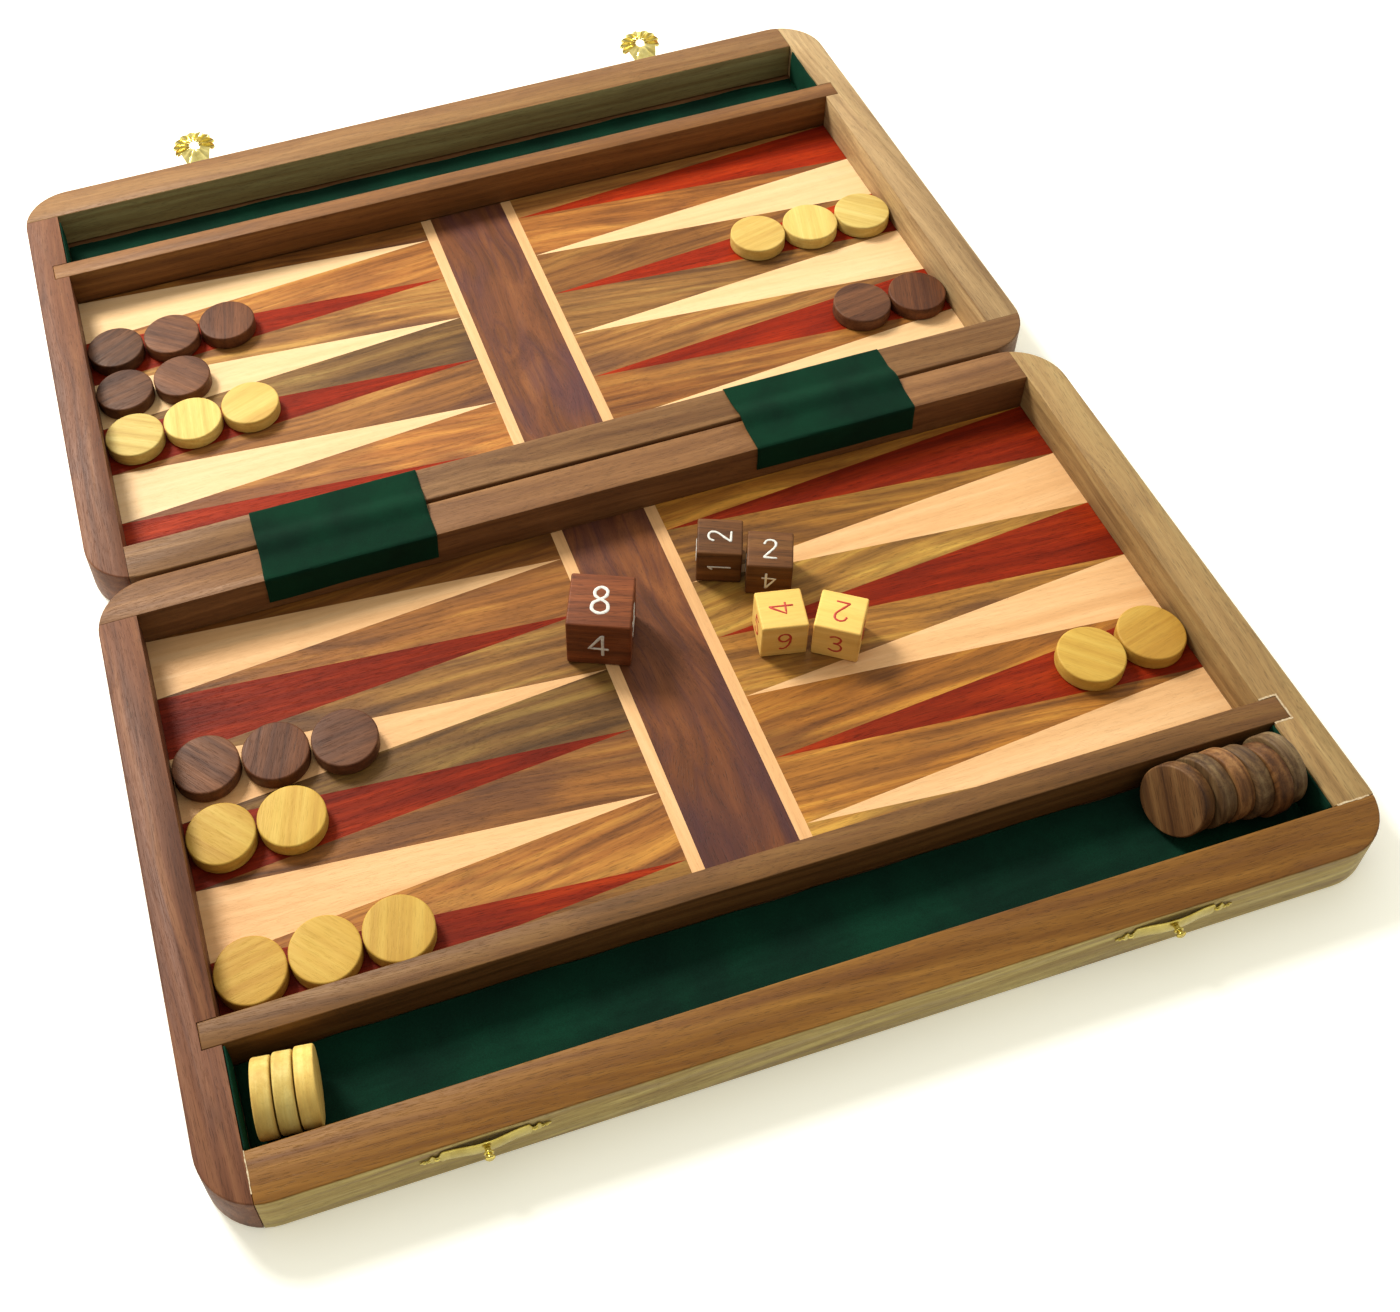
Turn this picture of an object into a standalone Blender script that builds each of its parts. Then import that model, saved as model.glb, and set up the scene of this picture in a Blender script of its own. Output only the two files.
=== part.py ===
"""Folding backgammon case: two hinged wooden trays with a playing board in each, lined checker
trays, hidden hinges under velvet straps, two shell hasps, and the loose checkers, dice and cube.

Metres, +Z up, the case lies open on z = 0.  Sizes below are in case coordinates: X along the hinge,
Y across it with y = 0 on the seam, the far half at +Y and the near half at -Y.
"""

import math

import bmesh
import bpy
from mathutils import Matrix, Vector

# ---- driving dimensions ---------------------------------------------------------------------
CASE_LENGTH = 0.380
HALF_DEPTH = 0.234  # from the seam to the outer face of one half
RIM_Z = 0.0197  # height of one open half
BOARD_Z = 0.0030  # thickness of the base panel, whose top is the playing surface
SIDE_RAIL = 0.0143
HINGE_RAIL_IN = 0.0166  # from the seam to the hinge rail's inner face
LONG_RAIL = 0.0166  # front and back rails
DIVIDER_IN = 0.1754  # playing side of the divider
DIVIDER_OUT = 0.1843  # tray side of the divider
CORNER_R = 0.020
SEAM_HALF = 0.0008  # half the gap between the two hinge rails
BOTTOM_ROUND = 0.0014  # rounding of the outer bottom edge
TOP_ROUND = 0.0006

GAP = 0.00015  # clearance between pieces that touch
REBATE = 0.005  # how far the base panel runs in under the rails
NOTCH = 0.006  # how far the divider is let into the side rails

INNER_X = CASE_LENGTH / 2 - SIDE_RAIL
LONG_RAIL_IN = HALF_DEPTH - LONG_RAIL

# the fold: the two rims close 1.2 mm apart, which leaves room for the folded velvet
PIVOT_Z = RIM_Z + 0.0006
HINGE_X = 0.0955  # centres of the two hinges and of the straps over them
LEAF_LENGTH = 0.044
LEAF_WIDTH = 0.0130
LEAF_THICK = 0.0010
KNUCKLE_R = 0.0013
KNUCKLES = 5
KNUCKLE_CLEAR = 0.0002  # round each knuckle, where the other leaf is cut away
HINGE_PIN_R = 0.0006
BORE_CLEAR = 0.00005

STRAP_WIDTH = 0.065
STRAP_THICK = 0.0005
STRAP_DROP = 0.012  # how far a strap runs down the inner faces of the hinge rails
STRAP_RISE = 0.0019  # how high it arches over the knuckles
STRAP_ARCH_HALF = 0.0075

LINING = 0.0008
LINING_DOWN = 0.0004  # from the rim down to the top of the end pads
LINING_SHORT = 0.0035  # the far tray's velvet is cut this much short of the back rail

# shell hasps on the back wall, strike plates with a beaded peg on the front wall
LATCH_X = (-0.1085, 0.1105)
HASP_AXIS_OUT = 0.0020  # from the wall to the hasp's hinge axis
HASP_DROP = 0.0050  # from the rim down to that axis
HASP_REST_DEG = 28.0  # above the horizontal
HASP_WIDTH_NECK = 0.012
HASP_THICK = 0.0007
HASP_OFFSET = 0.0009  # the sheet's middle lies this far outside the hinge axis
SHELL_HALF_WIDTH = 0.0088
SHELL_REACH = 0.0068  # from the middle of the hole to the shell's tip
SHELL_LOBE = 0.0008
SHELL_LOBES = 9
SHELL_START_DEG = -20.0  # where the scallops begin, below the level of the hole
HASP_HOLE_R = 0.0022
HASP_KNUCKLE_R = 0.0013
HASP_PIN_R = 0.00055
HASP_PLATE_KNUCKLE = 0.0050  # length of the plate's single middle knuckle
PEG_DROP = 0.0053
HASP_HOLE_OUT = HASP_DROP + 2 * (PIVOT_Z - RIM_Z) + PEG_DROP
STRIKE_LENGTH = 0.0394
STRIKE_HEIGHT = 0.0060
STRIKE_THICK = 0.0006
STRIKE_BOW = 0.0012
STRIKE_STRAIGHT = 0.66  # share of its length before the shaped ends begin
PEG_REACH = 0.0056  # from the wall to the peg's tip
PEG_NECK_R = 0.0009
PEG_BEAD_R = 0.0016
PEG_BED = 0.0016  # from the wall to the peg's root, inside the bowed strip
PEG_COLLAR = 0.0012
HASP_PLATE_THICK = 0.0006
# outline of the plate that carries the hasp, as (x, z) from the hinge axis
HASP_PLATE_OUTLINE = [
    (-0.0060, -0.0020),
    (-0.0066, -0.0050),
    (-0.0045, -0.0082),
    (0.0, -0.0094),
    (0.0045, -0.0082),
    (0.0066, -0.0050),
    (0.0060, -0.0020),
]

# playing pieces
CHECKER_R = 0.0118
CHECKER_THICK = 0.0060
CHECKER_PITCH = 0.0240
CHECKER_EDGE = 0.0005
WALL_GAP = 0.0003  # from a checker to the rail or divider beside it
DIE = 0.0166
DIE_EDGE = 0.0008
CUBE = 0.0229
POINTS_PER_SIDE = 6
POINT_WIDTH = (DIVIDER_IN - HINGE_RAIL_IN) / POINTS_PER_SIDE

# rows of checkers on the boards: half (+1 far, -1 near), side (-1 left, +1 right), which point
# counted from the hinge, colour, how many, how far the first is off the point's middle line
# towards the back, and how much further each next one is
CHECKER_ROWS = [
    (1, -1, 4, "dark", 3, 0.0005, 0.0),
    (1, -1, 3, "dark", 2, 0.0006, 0.0),
    (1, -1, 2, "light", 3, 0.0004, 0.0008),
    (1, 1, 3, "light", 3, -0.0020, 0.0010),
    (1, 1, 1, "dark", 2, -0.0041, 0.0018),
    (-1, -1, 2, "dark", 3, 0.0035, -0.0024),
    (-1, -1, 3, "light", 2, 0.0018, -0.0010),
    (-1, -1, 5, "light", 3, 0.0040, -0.0004),
    (-1, 1, 4, "light", 2, 0.0022, -0.0016),
]

# name, edge, x, y, turn about Z in degrees
DICE = [
    ("doubling_cube", CUBE, -0.0173, -0.0695, -24.0),
    ("die_dark_1", DIE, 0.0345, -0.0517, -22.7),
    ("die_dark_2", DIE, 0.0494, -0.0632, -23.6),
    ("die_light_1", DIE, 0.0428, -0.0893, -11.7),
    ("die_light_2", DIE, 0.0620, -0.0974, -34.6),
]

# tray stacks, standing on edge on the near tray's lining
TRAY_FLOOR_Z = BOARD_Z + GAP + LINING + GAP
LIGHT_STACK_X = -0.1666  # centre of the first of three
LIGHT_STACK_Y = -0.2026
LIGHT_STACK_PITCH = 0.0065
LIGHT_STACK_STEP = 0.0003  # each next one stands this much nearer the front
LIGHT_STACK_TURN = -7.0
LIGHT_STACK_COUNT = 3
# the dark ones lean on each other: x, y, lean from the vertical and turn about Z, in degrees
DARK_STACK = [
    (0.1330, -0.1981, 23.0, 15.0),
    (0.1420, -0.1979, 10.0, 10.0),
    (0.1486, -0.1979, 9.0, 9.0),
    (0.1549, -0.1988, 8.0, 8.0),
    (0.1612, -0.2000, 8.0, 7.0),
    (0.1673, -0.1981, 8.0, 6.0),
]
STACK_CORE_R = 0.0030  # hidden core that joins the discs of one stack

# the origin is the bottom centre of the whole box, so the seam lies a little off y = 0
HASP_TIP_Y = (
    HALF_DEPTH
    + HASP_AXIS_OUT
    + (HASP_HOLE_OUT + SHELL_REACH + SHELL_LOBE) * math.cos(math.radians(HASP_REST_DEG))
    + (HASP_OFFSET + HASP_THICK / 2) * math.sin(math.radians(HASP_REST_DEG))
)
SEAM_Y = (HALF_DEPTH + PEG_REACH - HASP_TIP_Y) / 2

PALETTE = {
    "rail_wood": ((0.26, 0.13, 0.06), 0.45, 0.0),
    "panel_wood": ((0.33, 0.18, 0.07), 0.35, 0.0),
    "velvet": ((0.005, 0.07, 0.04), 0.95, 0.0),
    "brass": ((0.72, 0.55, 0.18), 0.25, 1.0),
    "light_wood": ((0.72, 0.50, 0.20), 0.40, 0.0),
    "dark_wood": ((0.10, 0.05, 0.03), 0.45, 0.0),
    "cube_wood": ((0.12, 0.05, 0.03), 0.40, 0.0),
}


# ---- helpers --------------------------------------------------------------------------------
def clear_scene():
    for obj in list(bpy.data.objects):
        bpy.data.objects.remove(obj, do_unlink=True)


def material(name, finish):
    colour, roughness, metallic = PALETTE[finish]
    mat = bpy.data.materials.new(name)
    mat.use_nodes = True
    shader = mat.node_tree.nodes["Principled BSDF"]
    shader.inputs["Base Color"].default_value = (*colour, 1.0)
    shader.inputs["Roughness"].default_value = roughness
    shader.inputs["Metallic"].default_value = metallic
    return mat


def empty(name, location, parent=None):
    obj = bpy.data.objects.new(name, None)
    obj.empty_display_size = 0.02
    bpy.context.scene.collection.objects.link(obj)
    obj.parent = parent
    obj.location = location
    return obj


def make_object(name, bm, finish=None, smooth=False):
    """The bmesh as a linked object; without a finish it is a hidden cutter."""
    bmesh.ops.recalc_face_normals(bm, faces=bm.faces)
    mesh = bpy.data.meshes.new(name)
    bm.to_mesh(mesh)
    bm.free()
    if smooth:
        mesh.shade_smooth()
        mesh.set_sharp_from_angle(angle=math.radians(35))
    obj = bpy.data.objects.new(name, mesh)
    bpy.context.scene.collection.objects.link(obj)
    if finish:
        mesh.materials.append(material(name, finish))
    else:
        obj.hide_render = True
        obj.display_type = "WIRE"
    return obj


def box_bmesh(low, high):
    bm = bmesh.new()
    low = Vector(low)
    high = Vector(high)
    size = high - low
    matrix = Matrix.Translation((low + high) / 2) @ Matrix.Diagonal((*size, 1.0))
    bmesh.ops.create_cube(bm, size=1.0, matrix=matrix)
    return bm


def cylinder_bmesh(radius, length, centre=(0, 0, 0), axis="Z", segments=32):
    turn = {
        "X": Matrix.Rotation(math.pi / 2, 4, "Y"),
        "Y": Matrix.Rotation(math.pi / 2, 4, "X"),
        "Z": Matrix.Identity(4),
    }[axis]
    bm = bmesh.new()
    bmesh.ops.create_cone(
        bm,
        cap_ends=True,
        segments=segments,
        radius1=radius,
        radius2=radius,
        depth=length,
        matrix=Matrix.Translation(Vector(centre)) @ turn,
    )
    return bm


def turned_bmesh(profile, segments=32):
    """A closed turned solid about +Y from (radius, y) points whose ends lie on the axis."""
    bm = bmesh.new()
    verts = [bm.verts.new((r, y, 0)) for r, y in profile]
    edges = [bm.edges.new(pair) for pair in zip(verts, verts[1:])]
    bmesh.ops.spin(
        bm,
        geom=verts + edges,
        cent=(0, 0, 0),
        axis=(0, 1, 0),
        angle=2 * math.pi,
        steps=segments,
        use_merge=True,
    )
    bmesh.ops.remove_doubles(bm, verts=bm.verts, dist=1e-6)
    return bm


def combine(obj, other, operation):
    """A Boolean modifier on obj; the other object is its hidden guide."""
    mod = obj.modifiers.new(other.name, "BOOLEAN")
    mod.operation = operation
    mod.solver = "EXACT"
    mod.object = other


def sweep_sheet(outer, inner, low_x, high_x):
    """A closed sheet from two matching open outlines of (y, z), drawn out along X."""
    bm = bmesh.new()
    ring = list(outer) + list(reversed(inner))
    ends = [[bm.verts.new((x, y, z)) for y, z in ring] for x in (low_x, high_x)]
    count = len(ring)
    half = len(outer)
    for i in range(count):
        j = (i + 1) % count
        bm.faces.new((ends[0][i], ends[0][j], ends[1][j], ends[1][i]))
    for end in ends:
        for i in range(half - 1):
            bm.faces.new((end[i], end[i + 1], end[count - 2 - i], end[count - 1 - i]))
    return bm


def quarter_round(radius, steps):
    """(height, inset) points of a rounded edge, from the flat to the upright face."""
    angles = [math.pi / 2 * i / steps for i in range(steps + 1)]
    return [(radius * (1 - math.cos(a)), radius * (1 - math.sin(a))) for a in angles]


# ---- the halves -----------------------------------------------------------------------------
def envelope(name, half):
    """The rounded outer body of one half, as a guide that every rail is cut to."""
    profile = quarter_round(BOTTOM_ROUND, 3)
    profile += [(RIM_Z - z, inset) for z, inset in reversed(quarter_round(TOP_ROUND, 2))]
    low_y, high_y = sorted((half * SEAM_HALF, half * HALF_DEPTH))
    steps = 12
    centres = [
        (CASE_LENGTH / 2 - CORNER_R, high_y - CORNER_R, 0),
        (-CASE_LENGTH / 2 + CORNER_R, high_y - CORNER_R, 90),
        (-CASE_LENGTH / 2 + CORNER_R, low_y + CORNER_R, 180),
        (CASE_LENGTH / 2 - CORNER_R, low_y + CORNER_R, 270),
    ]
    bm = bmesh.new()
    rings = []
    for z, inset in profile:
        ring = []
        for x, y, start in centres:
            for i in range(steps + 1):
                angle = math.radians(start + 90 * i / steps)
                radius = CORNER_R - inset
                ring.append(
                    bm.verts.new((x + radius * math.cos(angle), y + radius * math.sin(angle), z))
                )
        rings.append(ring)
    for lower, upper in zip(rings, rings[1:]):
        for i in range(len(lower)):
            j = (i + 1) % len(lower)
            bm.faces.new((lower[i], lower[j], upper[j], upper[i]))
    bm.faces.new(rings[0])
    bm.faces.new(rings[-1])
    return make_object(name, bm)


def across(half, near_seam, away):
    """The y range of something between two distances from the seam."""
    return sorted((half * near_seam, half * away))


def rail_boxes(half):
    """Plan of the four rails: butt joints that run round the frame like a pinwheel."""
    beyond = 0.004
    side = CASE_LENGTH / 2 + beyond
    seam = SEAM_HALF - beyond
    back = HALF_DEPTH + beyond
    long_name = "back" if half > 0 else "front"
    # the far half's left rail stops at the back rail, the near half's stops at the hinge rail
    if half > 0:
        long_x = (-side, INNER_X - GAP)
        hinge_x = (-INNER_X + GAP, side)
        left_y = (seam, LONG_RAIL_IN - GAP)
        right_y = (HINGE_RAIL_IN + GAP, back)
    else:
        long_x = (-INNER_X + GAP, side)
        hinge_x = (-side, INNER_X - GAP)
        left_y = (HINGE_RAIL_IN + GAP, back)
        right_y = (seam, LONG_RAIL_IN - GAP)
    return {
        f"{long_name}_rail": (long_x, (LONG_RAIL_IN, back)),
        "hinge_rail": (hinge_x, (seam, HINGE_RAIL_IN)),
        "left_rail": ((-side, -INNER_X), left_y),
        "right_rail": ((INNER_X, side), right_y),
    }


def build_half(half, attach):
    prefix = "far" if half > 0 else "near"
    body = envelope(f"{prefix}_envelope_guide", half)
    attach(body)

    reach_x = INNER_X + REBATE
    panel_y = across(half, HINGE_RAIL_IN - REBATE, LONG_RAIL_IN + REBATE)
    panel = make_object(
        f"{prefix}_base_panel",
        box_bmesh((-reach_x, panel_y[0], 0), (reach_x, panel_y[1], BOARD_Z)),
        "panel_wood",
    )
    attach(panel)
    panel_cut = make_object(
        f"{prefix}_panel_cutter",
        box_bmesh(
            (-reach_x - GAP, panel_y[0] - GAP, -0.001),
            (reach_x + GAP, panel_y[1] + GAP, BOARD_Z + GAP),
        ),
    )
    attach(panel_cut)

    divider_y = across(half, DIVIDER_IN, DIVIDER_OUT)
    notch_x = INNER_X + NOTCH
    divider = make_object(
        f"{prefix}_divider",
        box_bmesh((-notch_x, divider_y[0], BOARD_Z + 2 * GAP), (notch_x, divider_y[1], RIM_Z)),
        "rail_wood",
    )
    attach(divider)
    notch_cut = make_object(
        f"{prefix}_notch_cutter",
        box_bmesh(
            (-notch_x - GAP, divider_y[0] - GAP, BOARD_Z + GAP / 2),
            (notch_x + GAP, divider_y[1] + GAP, RIM_Z + 0.001),
        ),
    )
    attach(notch_cut)

    hinge_cuts = [hinge_recess(f"{prefix}_hinge_cutter_{i}", half, x) for i, x in hinge_places()]
    for cutter in hinge_cuts:
        attach(cutter)

    for name, (x_range, y_range) in rail_boxes(half).items():
        y_low, y_high = across(half, *y_range)
        rail = make_object(
            f"{prefix}_{name}",
            box_bmesh((x_range[0], y_low, -0.002), (x_range[1], y_high, RIM_Z + 0.002)),
            "rail_wood",
        )
        attach(rail)
        combine(rail, body, "INTERSECT")
        combine(rail, panel_cut, "DIFFERENCE")
        if name in ("left_rail", "right_rail"):
            combine(rail, notch_cut, "DIFFERENCE")
        if name == "hinge_rail":
            for cutter in hinge_cuts:
                combine(rail, cutter, "DIFFERENCE")
    build_lining(prefix, half, attach)


def build_lining(prefix, half, attach):
    """Velvet in the tray: the floor and a full-height pad on each end wall."""
    x = INNER_X - GAP
    short = LINING_SHORT if half > 0 else 0.0
    y_low, y_high = across(half, DIVIDER_OUT + GAP, LONG_RAIL_IN - GAP - short)
    bottom = BOARD_Z + GAP
    top = RIM_Z - LINING_DOWN
    lining = make_object(
        f"{prefix}_tray_lining",
        box_bmesh((-x, y_low, bottom), (x, y_high, top)),
        "velvet",
    )
    hollow = make_object(
        f"{prefix}_lining_cutter",
        box_bmesh(
            (-x + LINING, y_low - 0.001, bottom + LINING),
            (x - LINING, y_high + 0.001, top + 0.001),
        ),
    )
    for obj in (lining, hollow):
        attach(obj)
    combine(lining, hollow, "DIFFERENCE")


# ---- hinges and straps ----------------------------------------------------------------------
def hinge_places():
    return (("left", -HINGE_X), ("right", HINGE_X))


def hinge_recess(name, half, x):
    """Cutter for one leaf let into the rim and for the knuckles along the seam."""
    margin = 0.00025
    reach = LEAF_LENGTH / 2 + 0.0012
    y_low, y_high = across(half, 0.0, LEAF_WIDTH + margin)
    cutter = make_object(
        name,
        box_bmesh(
            (x - LEAF_LENGTH / 2 - margin, y_low, RIM_Z - LEAF_THICK - margin),
            (x + LEAF_LENGTH / 2 + margin, y_high, RIM_Z + 0.003),
        ),
    )
    groove = make_object(
        f"{name}_groove",
        cylinder_bmesh(KNUCKLE_R + 0.0003, 2 * reach, (x, 0, PIVOT_Z), "X"),
    )
    groove.parent = cutter
    combine(cutter, groove, "UNION")
    return cutter


def build_leaf(name, half, x, attach):
    """One leaf with its own knuckles, cut clear of the other leaf's."""
    y_low, y_high = across(half, 0.0009, LEAF_WIDTH)
    leaf = make_object(
        name,
        box_bmesh(
            (x - LEAF_LENGTH / 2, y_low, RIM_Z - LEAF_THICK),
            (x + LEAF_LENGTH / 2, y_high, RIM_Z),
        ),
        "brass",
        smooth=True,
    )
    attach(leaf)
    pitch = LEAF_LENGTH / KNUCKLES
    own = 0 if half < 0 else 1
    for k in range(KNUCKLES):
        centre = (x - LEAF_LENGTH / 2 + (k + 0.5) * pitch, 0, PIVOT_Z)
        if k % 2 == own:
            knuckle = make_object(
                f"{name}_knuckle_{k}",
                cylinder_bmesh(KNUCKLE_R, pitch - 0.0003, centre, "X"),
            )
            combine(leaf, knuckle, "UNION")
        else:
            knuckle = make_object(
                f"{name}_clearance_{k}",
                cylinder_bmesh(KNUCKLE_R + KNUCKLE_CLEAR, pitch + 0.0001, centre, "X"),
            )
            combine(leaf, knuckle, "DIFFERENCE")
        attach(knuckle)
    bore = make_object(
        f"{name}_bore",
        cylinder_bmesh(HINGE_PIN_R + BORE_CLEAR, LEAF_LENGTH + 0.004, (x, 0, PIVOT_Z), "X"),
    )
    attach(bore)
    combine(leaf, bore, "DIFFERENCE")


def build_hinge_pin(name, x, attach):
    head = 0.0006
    half_length = LEAF_LENGTH / 2 + GAP
    profile = [
        (0.0, -half_length - head),
        (HINGE_PIN_R + 0.0003, -half_length - head),
        (HINGE_PIN_R + 0.0003, -half_length),
        (HINGE_PIN_R, -half_length),
        (HINGE_PIN_R, half_length),
        (HINGE_PIN_R + 0.0003, half_length),
        (HINGE_PIN_R + 0.0003, half_length + head),
        (0.0, half_length + head),
    ]
    pin = make_object(name, turned_bmesh(profile), "brass", smooth=True)
    pin.data.transform(Matrix.Rotation(-math.pi / 2, 4, "Z"))
    pin.data.transform(Matrix.Translation((x, 0, PIVOT_Z)))
    attach(pin)


def strap_outline(offset):
    """The strap's path over both rims, as (y, z), offset outwards from the wood."""
    wall_y = HINGE_RAIL_IN + GAP + offset
    top_z = RIM_Z + GAP + offset
    bend = 0.0001 + offset
    half_path = [(wall_y, RIM_Z - STRAP_DROP)]
    for i in range(5):
        angle = math.radians(90 * i / 4)
        half_path.append(
            (wall_y - bend + bend * math.cos(angle), top_z - bend + bend * math.sin(angle))
        )
    for i in range(7):
        share = 1 - i / 6
        rise = STRAP_RISE * math.cos(math.pi / 2 * share) ** 2
        half_path.append((STRAP_ARCH_HALF * share, top_z + rise))
    other = [(-y, z) for y, z in reversed(half_path[:-1])]
    return half_path + other


def build_strap(name, x, attach):
    outer = strap_outline(STRAP_THICK)
    inner = strap_outline(0.0)
    bm = sweep_sheet(outer, inner, x - STRAP_WIDTH / 2, x + STRAP_WIDTH / 2)
    attach(make_object(name, bm, "velvet"))


# ---- latches --------------------------------------------------------------------------------
def shell_outline(steps_per_lobe=6):
    """The scalloped edge of the shell, as (x, distance from the hinge axis)."""
    start = math.radians(SHELL_START_DEG)
    sweep = math.radians(180 - 2 * SHELL_START_DEG)
    steps = SHELL_LOBES * steps_per_lobe
    points = []
    for i in range(steps + 1):
        angle = start + sweep * i / steps
        lobe = SHELL_LOBE * abs(math.sin(math.pi * SHELL_LOBES * i / steps))
        across_it = (SHELL_HALF_WIDTH + lobe) * math.cos(angle)
        along_it = (SHELL_REACH + lobe) * math.sin(angle)
        points.append((across_it, HASP_HOLE_OUT + along_it))
    return points


def plate_bmesh(outline, thick, middle):
    """A flat plate with its outline in (x, v) and its thickness about n = middle."""
    bm = bmesh.new()
    rings = [
        [bm.verts.new((x, n, v)) for x, v in outline]
        for n in (middle - thick / 2, middle + thick / 2)
    ]
    count = len(outline)
    for i in range(count):
        j = (i + 1) % count
        bm.faces.new((rings[0][i], rings[0][j], rings[1][j], rings[1][i]))
    bm.faces.new(rings[0])
    bm.faces.new(rings[1])
    return bm


def build_hasp(side, x, attach):
    """The shell plate with two knuckles.  Its own frame has the hinge axis along X through its
    origin, +Z towards the tip and +Y to the face that shows when the case is closed."""
    name = f"hasp_{side}"
    neck = HASP_WIDTH_NECK / 2
    outline = [(-neck, 0.0), (neck, 0.0), (neck - 0.0004, 0.0030)]
    outline += shell_outline() + [(-neck + 0.0004, 0.0030)]
    hasp = make_object(name, plate_bmesh(outline, HASP_THICK, HASP_OFFSET), "brass", smooth=True)
    knuckle_length = (HASP_WIDTH_NECK - HASP_PLATE_KNUCKLE) / 2 - GAP
    guides = []
    for sign in (-1, 1):
        centre = (sign * (HASP_WIDTH_NECK - knuckle_length) / 2, 0, 0)
        knuckle = make_object(
            f"{name}_knuckle_{sign + 1}",
            cylinder_bmesh(HASP_KNUCKLE_R, knuckle_length, centre, "X"),
        )
        combine(hasp, knuckle, "UNION")
        guides.append(knuckle)
    slot_half = HASP_PLATE_KNUCKLE / 2 + GAP
    slot = make_object(
        f"{name}_slot",
        box_bmesh((-slot_half, -0.002, -0.002), (slot_half, 0.003, HASP_KNUCKLE_R + 0.0004)),
    )
    bore = make_object(
        f"{name}_bore",
        cylinder_bmesh(HASP_PIN_R + BORE_CLEAR, HASP_WIDTH_NECK + 0.002, (0, 0, 0), "X"),
    )
    hole = make_object(
        f"{name}_hole", cylinder_bmesh(HASP_HOLE_R, 0.006, (0, 0, HASP_HOLE_OUT), "Y")
    )
    for cutter in (slot, bore, hole):
        combine(hasp, cutter, "DIFFERENCE")
        guides.append(cutter)
    for guide in guides:
        guide.parent = hasp
    attach(hasp)
    hasp.location = hasp.location + Vector(hasp_axis(x))
    hasp.rotation_euler = (math.radians(HASP_REST_DEG - 90), 0, 0)


def hasp_axis(x):
    return (x, HALF_DEPTH + HASP_AXIS_OUT, RIM_Z - HASP_DROP)


def build_hasp_plate(side, x, attach):
    """The plate nailed to the back wall, with one middle knuckle on a short web."""
    name = f"hasp_plate_{side}"
    axis = Vector(hasp_axis(x))
    wall = HALF_DEPTH + GAP
    web_half = HASP_PLATE_KNUCKLE / 2 - GAP
    bm = plate_bmesh(HASP_PLATE_OUTLINE, HASP_PLATE_THICK, 0.0)
    bm.transform(Matrix.Translation((x, wall + HASP_PLATE_THICK / 2, axis.z)))
    plate = make_object(name, bm, "brass", smooth=True)
    web = make_object(
        f"{name}_web",
        box_bmesh(
            (x - web_half + 0.0002, wall + 0.0003, axis.z - 0.0028),
            (x + web_half - 0.0002, axis.y - 0.0003, axis.z + 0.0001),
        ),
    )
    knuckle = make_object(
        f"{name}_knuckle", cylinder_bmesh(HASP_KNUCKLE_R, 2 * web_half, axis, "X")
    )
    bore = make_object(
        f"{name}_bore", cylinder_bmesh(HASP_PIN_R + BORE_CLEAR, 0.010, axis, "X")
    )
    for guide in (web, knuckle):
        combine(plate, guide, "UNION")
    combine(plate, bore, "DIFFERENCE")
    for obj in (plate, web, knuckle, bore):
        attach(obj)


def build_hasp_pin(side, x, attach):
    half_length = HASP_WIDTH_NECK / 2 + GAP
    head = 0.0005
    head_r = HASP_PIN_R + 0.0004
    profile = [
        (0.0, -half_length - head),
        (head_r, -half_length - head),
        (head_r, -half_length),
        (HASP_PIN_R, -half_length),
        (HASP_PIN_R, half_length),
        (head_r, half_length),
        (head_r, half_length + head),
        (0.0, half_length + head),
    ]
    pin = make_object(f"hasp_pin_{side}", turned_bmesh(profile), "brass", smooth=True)
    pin.data.transform(Matrix.Rotation(-math.pi / 2, 4, "Z"))
    pin.data.transform(Matrix.Translation(hasp_axis(x)))
    attach(pin)


def strike_half_height(x):
    """Half the strike plate's height at x from its middle: straight, then a waist and a point."""
    end = STRIKE_LENGTH / 2
    share = abs(x) / end
    full = STRIKE_HEIGHT / 2
    if share < STRIKE_STRAIGHT:
        return full
    tail = (share - STRIKE_STRAIGHT) / (1 - STRIKE_STRAIGHT)
    return max(full * (1 - tail) * (0.75 + 0.25 * math.cos(4 * math.pi * tail)), 0.0002)


def build_strike(side, x, attach):
    """The bowed strip on the front wall, with a turned peg that the hasp's hole drops over."""
    steps = 40
    bowed = STRIKE_STRAIGHT * STRIKE_LENGTH / 2
    z = RIM_Z - PEG_DROP + 0.0002
    wall = -HALF_DEPTH - GAP
    bm = bmesh.new()
    rings = []
    for i in range(steps + 1):
        along = STRIKE_LENGTH * (i / steps - 0.5)
        height = strike_half_height(along)
        lift = 0.0
        if abs(along) < bowed:
            lift = STRIKE_BOW * math.cos(math.pi / 2 * along / bowed) ** 2
        corners = [
            (wall - lift, z - height),
            (wall - lift, z + height),
            (wall - lift - STRIKE_THICK, z + height),
            (wall - lift - STRIKE_THICK, z - height),
        ]
        rings.append([bm.verts.new((x + along, cy, cz)) for cy, cz in corners])
    for first, second in zip(rings, rings[1:]):
        for i in range(4):
            j = (i + 1) % 4
            bm.faces.new((first[i], first[j], second[j], second[i]))
    bm.faces.new(rings[0])
    bm.faces.new(rings[-1])
    plate = make_object(f"strike_plate_{side}", bm, "brass", smooth=True)

    peg = make_object(f"strike_plate_{side}_peg", turned_bmesh(peg_profile(), 24), smooth=True)
    peg.data.transform(Matrix.Translation((x, -HALF_DEPTH, RIM_Z - PEG_DROP)))
    combine(plate, peg, "UNION")
    for obj in (plate, peg):
        attach(obj)


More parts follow.
